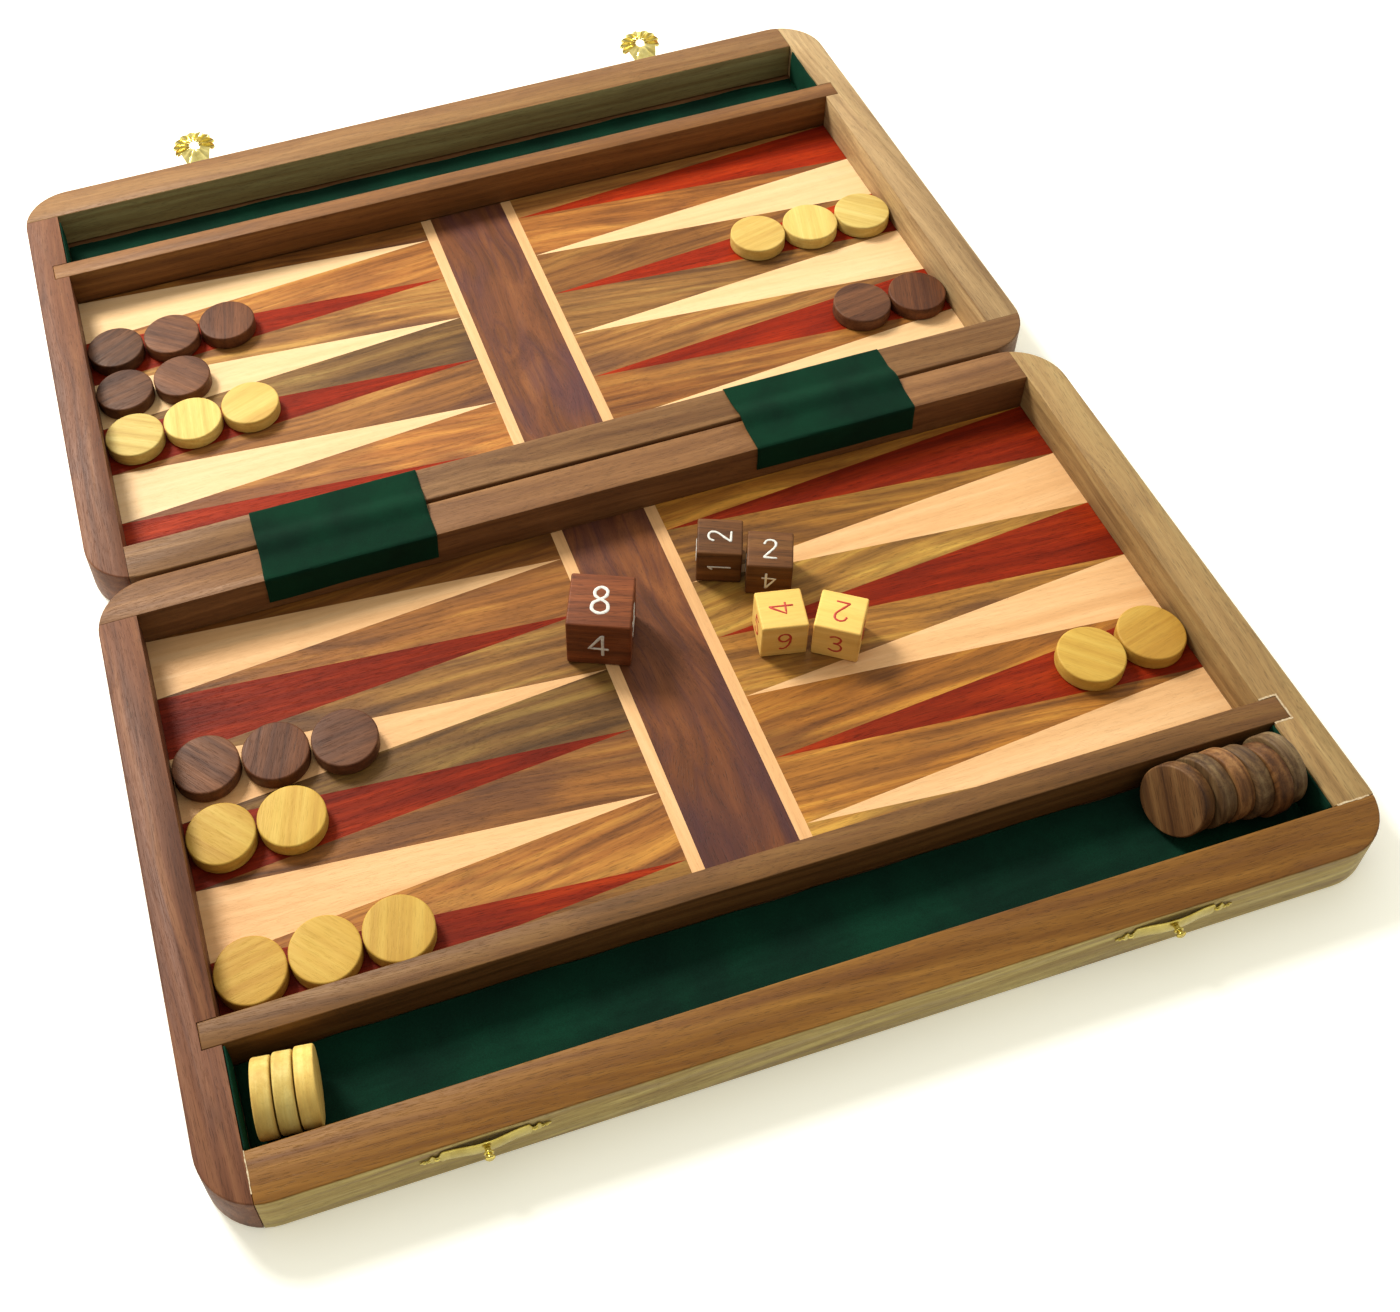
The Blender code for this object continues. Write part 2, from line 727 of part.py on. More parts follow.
def peg_profile():
    """Radius against y from the wall: a neck, then two round beads."""
    collar_end = PEG_BED + PEG_COLLAR
    bead_half = (PEG_REACH - collar_end) / 4
    points = [(0.0, -PEG_BED), (PEG_NECK_R, -PEG_BED), (PEG_NECK_R, -collar_end)]
    for centre in (PEG_REACH - 3 * bead_half, PEG_REACH - bead_half):
        for i in range(1, 8):
            angle = math.pi * i / 8
            radius = max(PEG_NECK_R, PEG_BEAD_R * math.sin(angle))
            points.append((radius, -centre + bead_half * math.cos(angle)))
    points.append((0.0, -PEG_REACH))
    return points


# ---- playing pieces -------------------------------------------------------------------------
def disc_bmesh(segments=40):
    """A checker lying flat with its underside at z = 0, its edges slightly rounded."""
    bm = cylinder_bmesh(CHECKER_R, CHECKER_THICK, (0, 0, CHECKER_THICK / 2), "Z", segments)
    rims = [e for e in bm.edges if abs(e.verts[0].co.z - e.verts[1].co.z) < 1e-7]
    bmesh.ops.bevel(bm, geom=rims, offset=CHECKER_EDGE, segments=1, affect="EDGES")
    return bm


def build_board_checkers(attach_near, attach_far):
    numbers = {"light": 0, "dark": 0}
    for half, side, point, colour, count, drift, step in CHECKER_ROWS:
        middle = half * (HINGE_RAIL_IN + (point + 0.5) * POINT_WIDTH)
        for i in range(count):
            numbers[colour] += 1
            x = side * (INNER_X - CHECKER_R - WALL_GAP - i * CHECKER_PITCH)
            y = middle + drift + i * step
            checker = make_object(
                f"checker_{colour}_{numbers[colour]:02d}",
                disc_bmesh(),
                f"{colour}_wood",
                smooth=True,
            )
            (attach_far if half > 0 else attach_near)(checker)
            checker.location = checker.location + Vector((x, y, BOARD_Z + GAP))


def disc_on_edge(x, y, lean, turn):
    """Matrix for a checker that stands on edge on the tray floor, its face towards -X."""
    lean = math.radians(lean)
    height = CHECKER_R * math.cos(lean) + CHECKER_THICK / 2 * math.sin(lean)
    upright = Matrix.Rotation(-math.pi / 2 + lean, 4, "Y")
    return (
        Matrix.Translation((x, y, TRAY_FLOOR_Z + height))
        @ Matrix.Rotation(math.radians(turn), 4, "Z")
        @ upright
        @ Matrix.Translation((0, 0, -CHECKER_THICK / 2))
    )


def light_stack():
    """Where the light checkers stand in the near tray: x, y, lean and turn about Z."""
    return [
        (
            LIGHT_STACK_X + i * LIGHT_STACK_PITCH,
            LIGHT_STACK_Y - i * LIGHT_STACK_STEP,
            0.0,
            LIGHT_STACK_TURN,
        )
        for i in range(LIGHT_STACK_COUNT)
    ]


def build_tray_stack(name, places, finish, attach):
    """Checkers on edge in the near tray, held together as one piece by a hidden core."""
    base = None
    centres = []
    for i, place in enumerate(places):
        matrix = disc_on_edge(*place)
        centres.append(matrix @ Vector((0, 0, CHECKER_THICK / 2)))
        bm = disc_bmesh(32)
        bm.transform(matrix)
        disc = make_object(name if i == 0 else f"{name}_disc_{i}", bm, finish if i == 0 else None)
        attach(disc)
        if i == 0:
            base = disc
        else:
            combine(base, disc, "UNION")
    for i, (first, second) in enumerate(zip(centres, centres[1:])):
        along = second - first
        bm = cylinder_bmesh(STACK_CORE_R, along.length, (0, 0, 0), "Z", 16)
        turn = along.to_track_quat("Z", "Y").to_matrix().to_4x4()
        bm.transform(Matrix.Translation((first + second) / 2) @ turn)
        core = make_object(f"{name}_core_{i}", bm)
        attach(core)
        combine(base, core, "UNION")


def build_dice(attach):
    for name, edge, x, y, turn in DICE:
        bm = box_bmesh((-edge / 2, -edge / 2, 0), (edge / 2, edge / 2, edge))
        bmesh.ops.bevel(
            bm, geom=list(bm.edges), offset=DIE_EDGE, segments=2, profile=0.5, affect="EDGES"
        )
        finish = "light_wood" if "light" in name else "cube_wood"
        die = make_object(name, bm, finish, smooth=True)
        attach(die)
        die.location = die.location + Vector((x, y, BOARD_Z + GAP))
        die.rotation_euler = (0, 0, math.radians(turn))


# ---- assembly -------------------------------------------------------------------------------
def main():
    clear_scene()
    case = empty("case_frame", (0, SEAM_Y, 0))
    fold = empty("fold_pivot", (0, 0, PIVOT_Z), case)

    def attach_near(obj):
        obj.parent = case

    def attach_far(obj):
        obj.parent = fold
        obj.location = (0, 0, -PIVOT_Z)

    build_half(-1, attach_near)
    build_half(1, attach_far)
    for side, x in hinge_places():
        build_leaf(f"hinge_leaf_near_{side}", -1, x, attach_near)
        build_leaf(f"hinge_leaf_far_{side}", 1, x, attach_far)
        build_hinge_pin(f"hinge_pin_{side}", x, attach_near)
        build_strap(f"strap_{side}", x, attach_near)
    for side, x in zip(("left", "right"), LATCH_X):
        build_hasp_plate(side, x, attach_far)
        build_hasp(side, x, attach_far)
        build_hasp_pin(side, x, attach_far)
        build_strike(side, x, attach_near)
    build_board_checkers(attach_near, attach_far)
    build_tray_stack("tray_checkers_light", light_stack(), "light_wood", attach_near)
    build_tray_stack("tray_checkers_dark", DARK_STACK, "dark_wood", attach_near)
    build_dice(attach_near)


main()
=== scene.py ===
"""Looks of the folding backgammon case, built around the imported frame.

Metres, +Z up, the case lies open on z = 0 with its hinge along X.  The woods are solid procedural
textures, so the grain runs on round every edge and shows as end grain where a rail is cut across.
"""

import math

import bmesh
import bpy
from mathutils import Matrix, Vector, noise


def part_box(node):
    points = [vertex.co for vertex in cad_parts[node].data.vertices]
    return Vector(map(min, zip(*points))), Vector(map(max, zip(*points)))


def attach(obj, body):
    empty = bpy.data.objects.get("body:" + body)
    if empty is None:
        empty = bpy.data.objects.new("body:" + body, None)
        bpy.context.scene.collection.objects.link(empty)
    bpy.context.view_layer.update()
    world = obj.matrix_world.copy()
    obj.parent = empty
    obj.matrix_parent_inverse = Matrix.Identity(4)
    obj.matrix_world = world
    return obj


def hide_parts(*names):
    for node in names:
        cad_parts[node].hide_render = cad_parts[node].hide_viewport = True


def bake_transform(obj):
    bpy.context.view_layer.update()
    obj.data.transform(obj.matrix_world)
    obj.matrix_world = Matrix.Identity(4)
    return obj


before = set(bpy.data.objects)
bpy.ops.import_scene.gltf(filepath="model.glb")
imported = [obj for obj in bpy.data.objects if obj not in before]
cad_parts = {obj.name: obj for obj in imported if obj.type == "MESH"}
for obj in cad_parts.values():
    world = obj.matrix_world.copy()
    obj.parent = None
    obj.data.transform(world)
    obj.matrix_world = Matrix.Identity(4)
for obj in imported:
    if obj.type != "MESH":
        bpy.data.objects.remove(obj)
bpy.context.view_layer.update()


def low(node):
    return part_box(node)[0]


def high(node):
    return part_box(node)[1]


def centre_of(node):
    return (low(node) + high(node)) / 2


# ---- measures taken from the frame ----
SEAM_Y = (low("far_hinge_rail").y + high("near_hinge_rail").y) / 2
RIM_Z = high("near_front_rail").z
BOARD_Z = high("near_base_panel").z
FIELD_LEFT = high("near_left_rail").x
FIELD_RIGHT = low("near_right_rail").x
# each half's playing field, from its hinge rail to its divider
FIELDS = {
    "near": (low("near_hinge_rail").y, high("near_divider").y),
    "far": (high("far_hinge_rail").y, low("far_divider").y),
}
SIDES = (("left", -1), ("right", 1))

# ---- inlay ----
VENEER = 0.0006
PANEL_GAP = 0.00002  # between the base panel and the veneers on it
POINTS = 6
BAR = (-0.0153, 0.0177)  # left and right edge of the middle bar
STRING = 0.0045  # width of the pale strings beside it
# the sides whose point at the lower Y end is a light one
LIGHT_FIRST = {("near", -1), ("far", 1)}
GROUNDS = {("near", "left"): "dark_ground", ("near", "right"): "gold_ground"}

# ---- cloth ----
CLOTH = 0.00055
CLOTH_SKIN = CLOTH / 2 + 0.0001  # from a glued surface to the middle of the cloth
STRAP_DROP = 0.012  # how far the straps come down the inner faces of the rails
STRAP_ARCH = 0.0075  # half the width of the arch over the hinge knuckles
STRAP_BEND = 0.0010
TURN_UP = 0.0010  # how far the tray velvet creeps up the long walls, unevenly
TURN_BEND = 0.0016
PAD_SHORT = 0.0009  # how far the velvet floors stop before the end walls

# ---- playing pieces ----
CHECKER_R = 0.0118
CHECKER_THICK = 0.0060
# checkers on edge in the near tray: x, y from the seam, lean and turn in degrees
LIGHT_DISCS = (
    (-0.1666, -0.2026, 0.0, -7.0),
    (-0.1601, -0.2029, 0.0, -7.0),
    (-0.1536, -0.2032, 0.0, -7.0),
)
DARK_DISCS = (
    (0.1330, -0.1981, 23.0, 15.0),
    (0.1420, -0.1979, 10.0, 10.0),
    (0.1486, -0.1979, 9.0, 9.0),
    (0.1549, -0.1988, 8.0, 8.0),
    (0.1612, -0.2000, 8.0, 7.0),
    (0.1673, -0.1981, 8.0, 6.0),
)


def linear(*channels):
    """A colour given as 0 to 255 display values, as the linear values that shaders take."""
    shares = [channel / 255 for channel in channels]
    return (*(s / 12.92 if s <= 0.04045 else ((s + 0.055) / 1.055) ** 2.4 for s in shares), 1.0)


# ---- materials ----
class Graph:
    """Short-hand for the nodes of one procedural material."""

    def __init__(self, name):
        self.material = bpy.data.materials.new(name)
        self.material.use_nodes = True
        self.tree = self.material.node_tree
        self.shader = self.tree.nodes["Principled BSDF"]

    def add(self, kind, inputs, **settings):
        node = self.tree.nodes.new(kind)
        for key, value in settings.items():
            setattr(node, key, value)
        for key, value in inputs.items():
            self.feed(node.inputs[key], value)
        return node

    def feed(self, socket, value):
        if isinstance(value, bpy.types.NodeSocket):
            self.tree.links.new(value, socket)
        else:
            socket.default_value = value

    def set(self, **values):
        for key, value in values.items():
            self.feed(self.shader.inputs[key.replace("_", " ")], value)

    def calc(self, operation, a, b=0.0):
        return self.add("ShaderNodeMath", {0: a, 1: b}, operation=operation).outputs[0]

    def vector(self, operation, a, b):
        return self.add("ShaderNodeVectorMath", {0: a, 1: b}, operation=operation).outputs[0]

    def split(self, vector):
        return self.add("ShaderNodeSeparateXYZ", {0: vector}).outputs

    def join(self, x, y, z):
        return self.add("ShaderNodeCombineXYZ", {0: x, 1: y, 2: z}).outputs[0]

    def place(self, grain="X"):
        """Position in the piece in millimetres, with the grain turned to X."""
        coords = self.add("ShaderNodeTexCoord", {}).outputs["Object"]
        x, y, z = self.split(self.vector("MULTIPLY", coords, (1000, 1000, 1000)))
        order = {"X": (x, y, z), "Y": (y, x, z), "Z": (z, x, y)}[grain]
        return self.join(*order)

    def noise(self, vector, scale, detail=2.0, roughness=0.5, output="Fac"):
        """Noise whose scale is given per axis, in repeats per millimetre."""
        stretched = self.vector("MULTIPLY", vector, scale)
        inputs = {"Vector": stretched, "Scale": 1.0, "Detail": detail, "Roughness": roughness}
        return self.add("ShaderNodeTexNoise", inputs).outputs[output]

    def noise_along(self, value, detail=2.0, roughness=0.5):
        inputs = {"W": value, "Scale": 1.0, "Detail": detail, "Roughness": roughness}
        return self.add("ShaderNodeTexNoise", inputs, noise_dimensions="1D").outputs["Fac"]

    def spread(self, value, from_low, from_high, to_low=0.0, to_high=1.0):
        inputs = {0: value, 1: from_low, 2: from_high, 3: to_low, 4: to_high}
        return self.add("ShaderNodeMapRange", inputs).outputs[0]

    def ramp(self, factor, stops):
        node = self.add("ShaderNodeValToRGB", {0: factor})
        marks = node.color_ramp.elements
        while len(marks) < len(stops):
            marks.new(0.5)
        for mark, (position, colour) in zip(marks, stops):
            mark.position = position
            mark.color = colour
        return node.outputs[0]

    def mix(self, factor, a, b, blend="MIX"):
        node = self.add("ShaderNodeMix", {0: factor, 6: a, 7: b}, data_type="RGBA", blend_type=blend)
        return node.outputs[2]

    def shade(self, colour, value):
        """The colour with its brightness multiplied by a value."""
        return self.mix(1.0, colour, self.join(value, value, value), "MULTIPLY")

    def bump(self, height, distance, strength=1.0):
        inputs = {"Height": height, "Distance": distance, "Strength": strength}
        self.set(Normal=self.add("ShaderNodeBump", inputs).outputs[0])


class Wood:
    """What one kind of wood looks like: colours, figure and surface."""

    vein_share = 0.3
    ring = 4.0  # width of a growth ring in millimetres
    ring_share = 0.4
    wander = 9.0  # how far the fibres stray, in millimetres
    fibre = 0.10  # how far single fibres differ in brightness
    pores = 0.35  # how dark the pores are
    turn = 0.05  # how far pieces are turned against the grain, in radians
    tone = 0.10  # how far pieces differ in brightness
    warmth = 0.04  # how far they differ between red and blue
    blotch = 0.0  # how strongly dark heartwood shows through in broad patches
    wall = None  # painted light: how much paler the faces towards -Y are painted, per colour channel, standing in for light bounced onto them
    rough = 0.50
    gloss = 0.20

    def __init__(self, dark, middle, light, vein, heart=(0, 0, 0), **changes):
        self.dark = linear(*dark)
        self.middle = linear(*middle)
        self.light = linear(*light)
        self.vein = linear(*vein)
        self.heart = linear(*heart)
        for key, value in changes.items():
            setattr(self, key, value)


def rail_look(dark, middle, light, vein=(92, 58, 40), vein_share=0.22, **changes):
    return Wood(dark, middle, light, vein, vein_share=vein_share, **changes)


GROUND = {
    "vein_share": 0.32, "ring": 6.0, "ring_share": 0.35, "wander": 13.0, "turn": 0.10, "tone": 0.22,
    "warmth": 0.14, "blotch": 0.6,
}
BAR_WOOD = {"vein_share": 0.5, "ring": 7.0, "wander": 30.0, "ring_share": 0.6, "blotch": 0.6}
PADAUK = {
    "vein_share": 0.25, "wander": 5.0, "fibre": 0.16, "pores": 0.45, "warmth": 0.03, "rough": 0.46,
    "gloss": 0.08,
}
YELLOW_WOOD = {
    "vein_share": 0.12, "ring": 2.6, "wander": 2.0, "fibre": 0.05, "pores": 0.10, "turn": 3.0,
    "warmth": 0.05,
}
BROWN_WOOD = {"vein_share": 0.4, "ring": 3.0, "fibre": 0.16, "pores": 0.45}
BROWN_CHECKER = {**BROWN_WOOD, "wander": 2.5, "turn": 3.0}

LOOKS = {
    # front: its wall entry paints light on the outer face towards -Y, as painted bounce light
    "front": rail_look((97, 59, 20), (117, 77, 28), (136, 94, 38), wall=(2.0, 3.5, 7.2)),
    "tan": rail_look((129, 98, 60), (153, 120, 76), (169, 139, 91)),
    "pale_tan": rail_look((144, 114, 78), (169, 138, 97), (187, 159, 116)),
    "purple": rail_look((86, 51, 34), (108, 67, 45), (126, 84, 57), (66, 37, 30), 0.4),
    # back: its wall entry paints the inner face towards -Y paler, as painted light
    "back": rail_look((115, 77, 44), (132, 95, 57), (146, 110, 69), wall=(1.35, 2.3, 2.7)),
    "hinge": rail_look((91, 59, 35), (114, 78, 46), (134, 96, 59)),
    "divider": rail_look((88, 59, 29), (112, 77, 41), (129, 94, 51)),
    "far_divider": rail_look((103, 65, 31), (131, 84, 43), (150, 102, 53)),
    "ground": Wood((97, 58, 27), (146, 95, 44), (181, 132, 65), (64, 34, 19), (81, 48, 36), **GROUND),
    "dark_ground": Wood(
        (87, 52, 21), (132, 85, 36), (164, 119, 53), (57, 29, 14), (72, 42, 29), **GROUND
    ),
    "gold_ground": Wood(
        (105, 65, 25), (157, 105, 41), (196, 146, 61), (70, 38, 17), (87, 54, 34), **GROUND
    ),
    "panel": Wood(
        (96, 62, 36), (118, 80, 49), (137, 98, 63), (84, 54, 32), vein_share=0.15, ring=9.0, wander=16.0
    ),
    "bar": Wood((76, 39, 19), (106, 58, 29), (130, 76, 38), (74, 39, 34), (66, 37, 42), **BAR_WOOD),
    "far_bar": Wood((82, 44, 23), (115, 65, 35), (140, 85, 45), (80, 44, 40), (78, 46, 56), **BAR_WOOD),
    "maple": Wood(
        (219, 179, 131), (227, 190, 142), (233, 198, 153), (210, 162, 115), vein_share=0.10,
        wander=4.0, fibre=0.03, pores=0.06, tone=0.04, warmth=0.02, rough=0.46,
    ),
    "pink_maple": Wood(
        (206, 159, 109), (215, 169, 119), (222, 180, 132), (193, 143, 93), vein_share=0.12,
        wander=4.0, fibre=0.04, pores=0.08, tone=0.05, warmth=0.02, rough=0.46,
    ),
    "padauk": Wood(
        (92, 21, 6), (119, 31, 8), (142, 44, 11), (68, 16, 4), (75, 18, 11), tone=0.30, blotch=0.5,
        **PADAUK,
    ),
    "bright_padauk": Wood(
        (107, 26, 8), (138, 35, 10), (163, 50, 15), (79, 18, 7), (90, 20, 12), tone=0.24, blotch=0.4,
        **PADAUK,
    ),
    "light_checker": Wood((173, 131, 53), (187, 148, 64), (197, 163, 78), (160, 114, 45), **YELLOW_WOOD),
    "pale_checker": Wood((193, 158, 83), (208, 178, 98), (220, 196, 119), (179, 138, 71), **YELLOW_WOOD),
    "dark_checker": Wood(
        (75, 42, 27), (97, 59, 37), (120, 75, 47), (55, 30, 21), tone=0.18, warmth=0.08, **BROWN_CHECKER
    ),
    "mixed_checker": Wood(
        (66, 41, 24), (107, 75, 45), (137, 105, 68), (52, 31, 21), tone=0.28, warmth=0.16, **BROWN_CHECKER
    ),
    "light_die": Wood(
        (223, 179, 94), (231, 190, 104), (237, 199, 116), (210, 161, 79), vein_share=0.10,
        wander=1.5, fibre=0.04, pores=0.06, tone=0.03, warmth=0.01,
    ),
    "dark_die": Wood((91, 47, 25), (119, 63, 34), (142, 80, 43), (64, 33, 19), wander=2.0, **BROWN_WOOD),
    "brown_die": Wood((78, 46, 22), (102, 62, 31), (122, 79, 39), (54, 33, 17), wander=2.0, **BROWN_WOOD),
}


WOOD_RELIEF = 0.00003
# in millimetres: how far below a piece its pith lies, and half the way to the next pith
PITH_DEPTH = 34.0
PITH_SPACING = 90.0
PITH_LEAN = 0.045


def wood(name, look, grain="X", seed=0.0):
    """Solid wood: growth rings round a pith beside the piece, wandering veins, fibres and pores."""
    look = LOOKS[look]
    g = Graph(name)
    own = g.add("ShaderNodeAttribute", {}, attribute_name="seed").outputs["Fac"]
    number = g.calc("ADD", own, seed)

    def differ(rate, amount):
        """A value between minus and plus the amount that goes with the piece's seed."""
        return g.calc("MULTIPLY", g.calc("SINE", g.calc("MULTIPLY", number, rate)), amount)

    offset = g.vector("MULTIPLY", g.join(number, number, number), (61.7, 37.3, 23.9))
    aim = {"Vector": g.place(grain), "Angle": differ(7.3, look.turn)}
    turned = g.add("ShaderNodeVectorRotate", aim, rotation_type="Z_AXIS").outputs[0]
    place = g.vector("ADD", turned, offset)

    stray = g.noise(place, (0.009, 0.022, 0.022), 2.0, output="Color")
    stray = g.vector("SUBTRACT", stray, (0.5, 0.5, 0.5))
    stray = g.vector("MULTIPLY", stray, (0.0, look.wander, look.wander))
    bent = g.vector("ADD", place, stray)
    x, y, z = g.split(bent)

    # rings round an axis that leans a little against the board
    lean = g.calc("MULTIPLY", x, PITH_LEAN)
    across = g.calc("PINGPONG", g.calc("ADD", y, lean), PITH_SPACING)
    deep = g.calc("ADD", z, PITH_DEPTH)
    square = g.calc("ADD", g.calc("POWER", across, 2.0), g.calc("POWER", deep, 2.0))
    radius = g.calc("SQRT", square)
    rings = g.noise_along(g.calc("DIVIDE", radius, look.ring), 2.5, 0.6)
    streaks = g.noise(bent, (0.008, 0.26, 0.26), 3.0, 0.6)
    figure = g.calc(
        "ADD",
        g.calc("MULTIPLY", rings, look.ring_share),
        g.calc("MULTIPLY", streaks, 1.0 - look.ring_share),
    )
    colour = g.ramp(figure, [(0.34, look.dark), (0.50, look.middle), (0.66, look.light)])

    slow = g.noise(bent, (0.0075, 0.085, 0.085), 2.0, 0.55)
    vein = g.calc("ABSOLUTE", g.calc("SUBTRACT", slow, 0.5))
    vein = g.spread(vein, 0.0, 0.045, look.vein_share, 0.0)
    colour = g.mix(vein, colour, look.vein)

    if look.blotch:
        patch = g.spread(g.noise(bent, (0.014, 0.05, 0.05), 2.0, 0.6), 0.50, 0.66, 0.0, look.blotch)
        colour = g.mix(patch, colour, look.heart)

    fibres = g.noise(bent, (0.045, 2.3, 2.3), 2.0, 0.6)
    colour = g.shade(colour, g.spread(fibres, 0.3, 0.7, 1.0 - look.fibre, 1.0 + look.fibre))
    pores = g.spread(g.noise(bent, (0.20, 4.6, 4.6), 1.0), 0.60, 0.68)
    colour = g.shade(colour, g.spread(pores, 0.0, 1.0, 1.0, 1.0 - look.pores))
    warm = differ(9.7, look.warmth)
    middle = g.calc("ADD", differ(23.1, look.tone), 1.0)
    tint = g.join(g.calc("ADD", middle, warm), middle, g.calc("SUBTRACT", middle, warm))
    colour = g.mix(1.0, colour, tint, "MULTIPLY")

    # painted light: faces towards -Y get a paler tint that stands in for light bounced onto them
    if look.wall:
        normal = g.add("ShaderNodeTexCoord", {}).outputs["Normal"]
        outwards = g.spread(g.calc("MULTIPLY", g.split(normal)[1], -1.0), 0.6, 0.95)
        painted_light_colour = g.mix(1.0, colour, (*look.wall, 1.0), "MULTIPLY")
        colour = g.mix(outwards, colour, painted_light_colour)

    height = g.calc("SUBTRACT", g.calc("MULTIPLY", fibres, 0.5), pores)
    g.bump(height, WOOD_RELIEF)
    rough = g.spread(fibres, 0.3, 0.7, look.rough + 0.07, look.rough - 0.05)
    g.set(Base_Color=colour, Roughness=rough, Specular_IOR_Level=look.gloss)
    return g.material


def velvet(name, pile, nap, sheen):
    """Short pile: a dark ground with brushed patches, and light along the turned-over pile."""
    g = Graph(name)
    place = g.place()
    patches = g.noise(place, (0.035, 0.035, 0.035), 3.0, 0.6)
    brushed = g.spread(patches, 0.35, 0.65)
    tufts = g.noise(place, (3.4, 3.4, 3.4), 2.0, 0.7)
    colour = g.mix(brushed, pile, nap)
    g.set(Base_Color=g.shade(colour, g.spread(tufts, 0.3, 0.7, 0.6, 1.4)))
    g.bump(tufts, 0.00025, 0.8)
    g.set(Roughness=0.9, Specular_IOR_Level=0.12)
    g.set(Sheen_Weight=sheen, Sheen_Roughness=0.35, Sheen_Tint=linear(30, 190, 130))
    return g.material


def brass(name, colour, rough):
    """Lacquered sheet brass with tarnish in patches and fine rubbing marks."""
    g = Graph(name)
    place = g.place()
    patches = g.noise(place, (0.22, 0.22, 0.22), 4.0, 0.6)
    rubbed = g.noise(place, (0.4, 5.0, 5.0), 3.0, 0.6)
    dull = (colour[0] * 0.75, colour[1] * 0.70, colour[2] * 0.52, 1.0)
    g.set(Base_Color=g.mix(g.spread(patches, 0.42, 0.70), colour, dull), Metallic=1.0)
    g.set(Roughness=g.spread(rubbed, 0.3, 0.7, rough - 0.06, rough + 0.12))
    g.bump(rubbed, 0.00002)
    return g.material


def paint(name, colour):
    """Numeral paint, thin in places."""
    g = Graph(name)
    wear = g.spread(g.noise(g.place(), (1.6, 1.6, 1.6), 3.0, 0.7), 0.30, 0.75)
    worn = tuple(0.55 * channel for channel in colour[:3]) + (1.0,)
    g.set(Base_Color=g.mix(wear, colour, worn))
    g.set(Roughness=g.spread(wear, 0.0, 1.0, 0.45, 0.7))
    return g.material


def filler(name):
    """Pale wood filler rubbed into a joint."""
    g = Graph(name)
    blotches = g.spread(g.noise(g.place(), (0.9, 0.9, 0.9), 3.0, 0.7), 0.35, 0.65)
    g.set(Base_Color=g.mix(blotches, linear(206, 190, 160), linear(168, 140, 104)))
    g.set(Roughness=0.8)
    return g.material


def floor_material():
    g = Graph("floor_pale")
    mottle = g.noise(g.place(), (0.004, 0.004, 0.004), 2.0)
    g.set(Base_Color=g.mix(mottle, (0.86, 0.86, 0.85, 1.0), (0.90, 0.90, 0.90, 1.0)))
    g.set(Roughness=0.7, Emission_Color=(1.0, 0.97, 0.72, 1.0), Emission_Strength=0.32)
    return g.material


# ---- mesh helpers ----
def link(obj):
    bpy.context.scene.collection.objects.link(obj)


def face_outwards(bm):
    bmesh.ops.recalc_face_normals(bm, faces=bm.faces)


def new_piece(
    name, bm, material, body=None, replaces=(), seed=None, sharp=35, matrix=None
):
    """The bmesh as a finished piece that rides on its body."""
    mesh = bpy.data.meshes.new(name)
    bm.to_mesh(mesh)
    bm.free()
    mesh.shade_smooth()
    mesh.set_sharp_from_angle(angle=math.radians(sharp))
    if seed is not None:
        store_seed(mesh, [seed] * len(mesh.vertices))
    obj = bpy.data.objects.new(name, mesh)
    link(obj)
    mesh.materials.append(material)
    if matrix:
        obj.matrix_world = matrix
    if body:
        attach(obj, body)
    if replaces:
        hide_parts(*replaces)
    return obj


def store_seed(mesh, values):
    """The number per point that decides which part of the wood a piece is cut from."""
    attribute = mesh.attributes.new("seed", "FLOAT", "POINT")
    attribute.data.foreach_set("value", values)


def add_prism(bm, outline, z_low, z_high):
    """A closed upright prism; returns how many vertices it has."""
    rings = [[bm.verts.new((x, y, z)) for x, y in outline] for z in (z_low, z_high)]
    count = len(outline)
    bm.faces.new(list(reversed(rings[0])))
    bm.faces.new(rings[1])
    for i in range(count):
        j = (i + 1) % count
        bm.faces.new((rings[0][i], rings[0][j], rings[1][j], rings[1][i]))
    return 2 * count


def rectangle(x_low, y_low, x_high, y_high):
    return [(x_low, y_low), (x_high, y_low), (x_high, y_high), (x_low, y_high)]


def inlay(name, outlines, material, half, first_seed, step=1.37):
    """Veneer pieces side by side, each cut from its own part of the wood."""
    bm = bmesh.new()
    seeds = []
    for i, outline in enumerate(outlines):
        seeds += [first_seed + step * i] * add_prism(bm, outline, BOARD_Z - VENEER, BOARD_Z)
    face_outwards(bm)
    obj = new_piece(name, bm, material, f"{half}_half")
    store_seed(obj.data, seeds)


def turned(profile, segments):
    """A closed turned solid about +Z from (radius, z) points."""
    bm = bmesh.new()
    verts = [bm.verts.new((r, 0, z)) for r, z in profile]
    edges = [bm.edges.new(pair) for pair in zip(verts, verts[1:])]
    bmesh.ops.spin(
        bm, geom=verts + edges, cent=(0, 0, 0), axis=(0, 0, 1), angle=2 * math.pi,
        steps=segments, use_merge=True,
    )
    bmesh.ops.remove_doubles(bm, verts=bm.verts, dist=1e-7)
    face_outwards(bm)
    return bm


def grid_sheet(rows, columns, point):
    """A sheet with its corners at (0, 0) and (1, 1) of the given surface function."""
    bm = bmesh.new()
    verts = [
        [bm.verts.new(point(i / rows, j / columns)) for j in range(columns + 1)]
        for i in range(rows + 1)
    ]
    for i in range(rows):
        for j in range(columns):
            bm.faces.new((verts[i][j], verts[i][j + 1], verts[i + 1][j + 1], verts[i + 1][j]))
    return bm


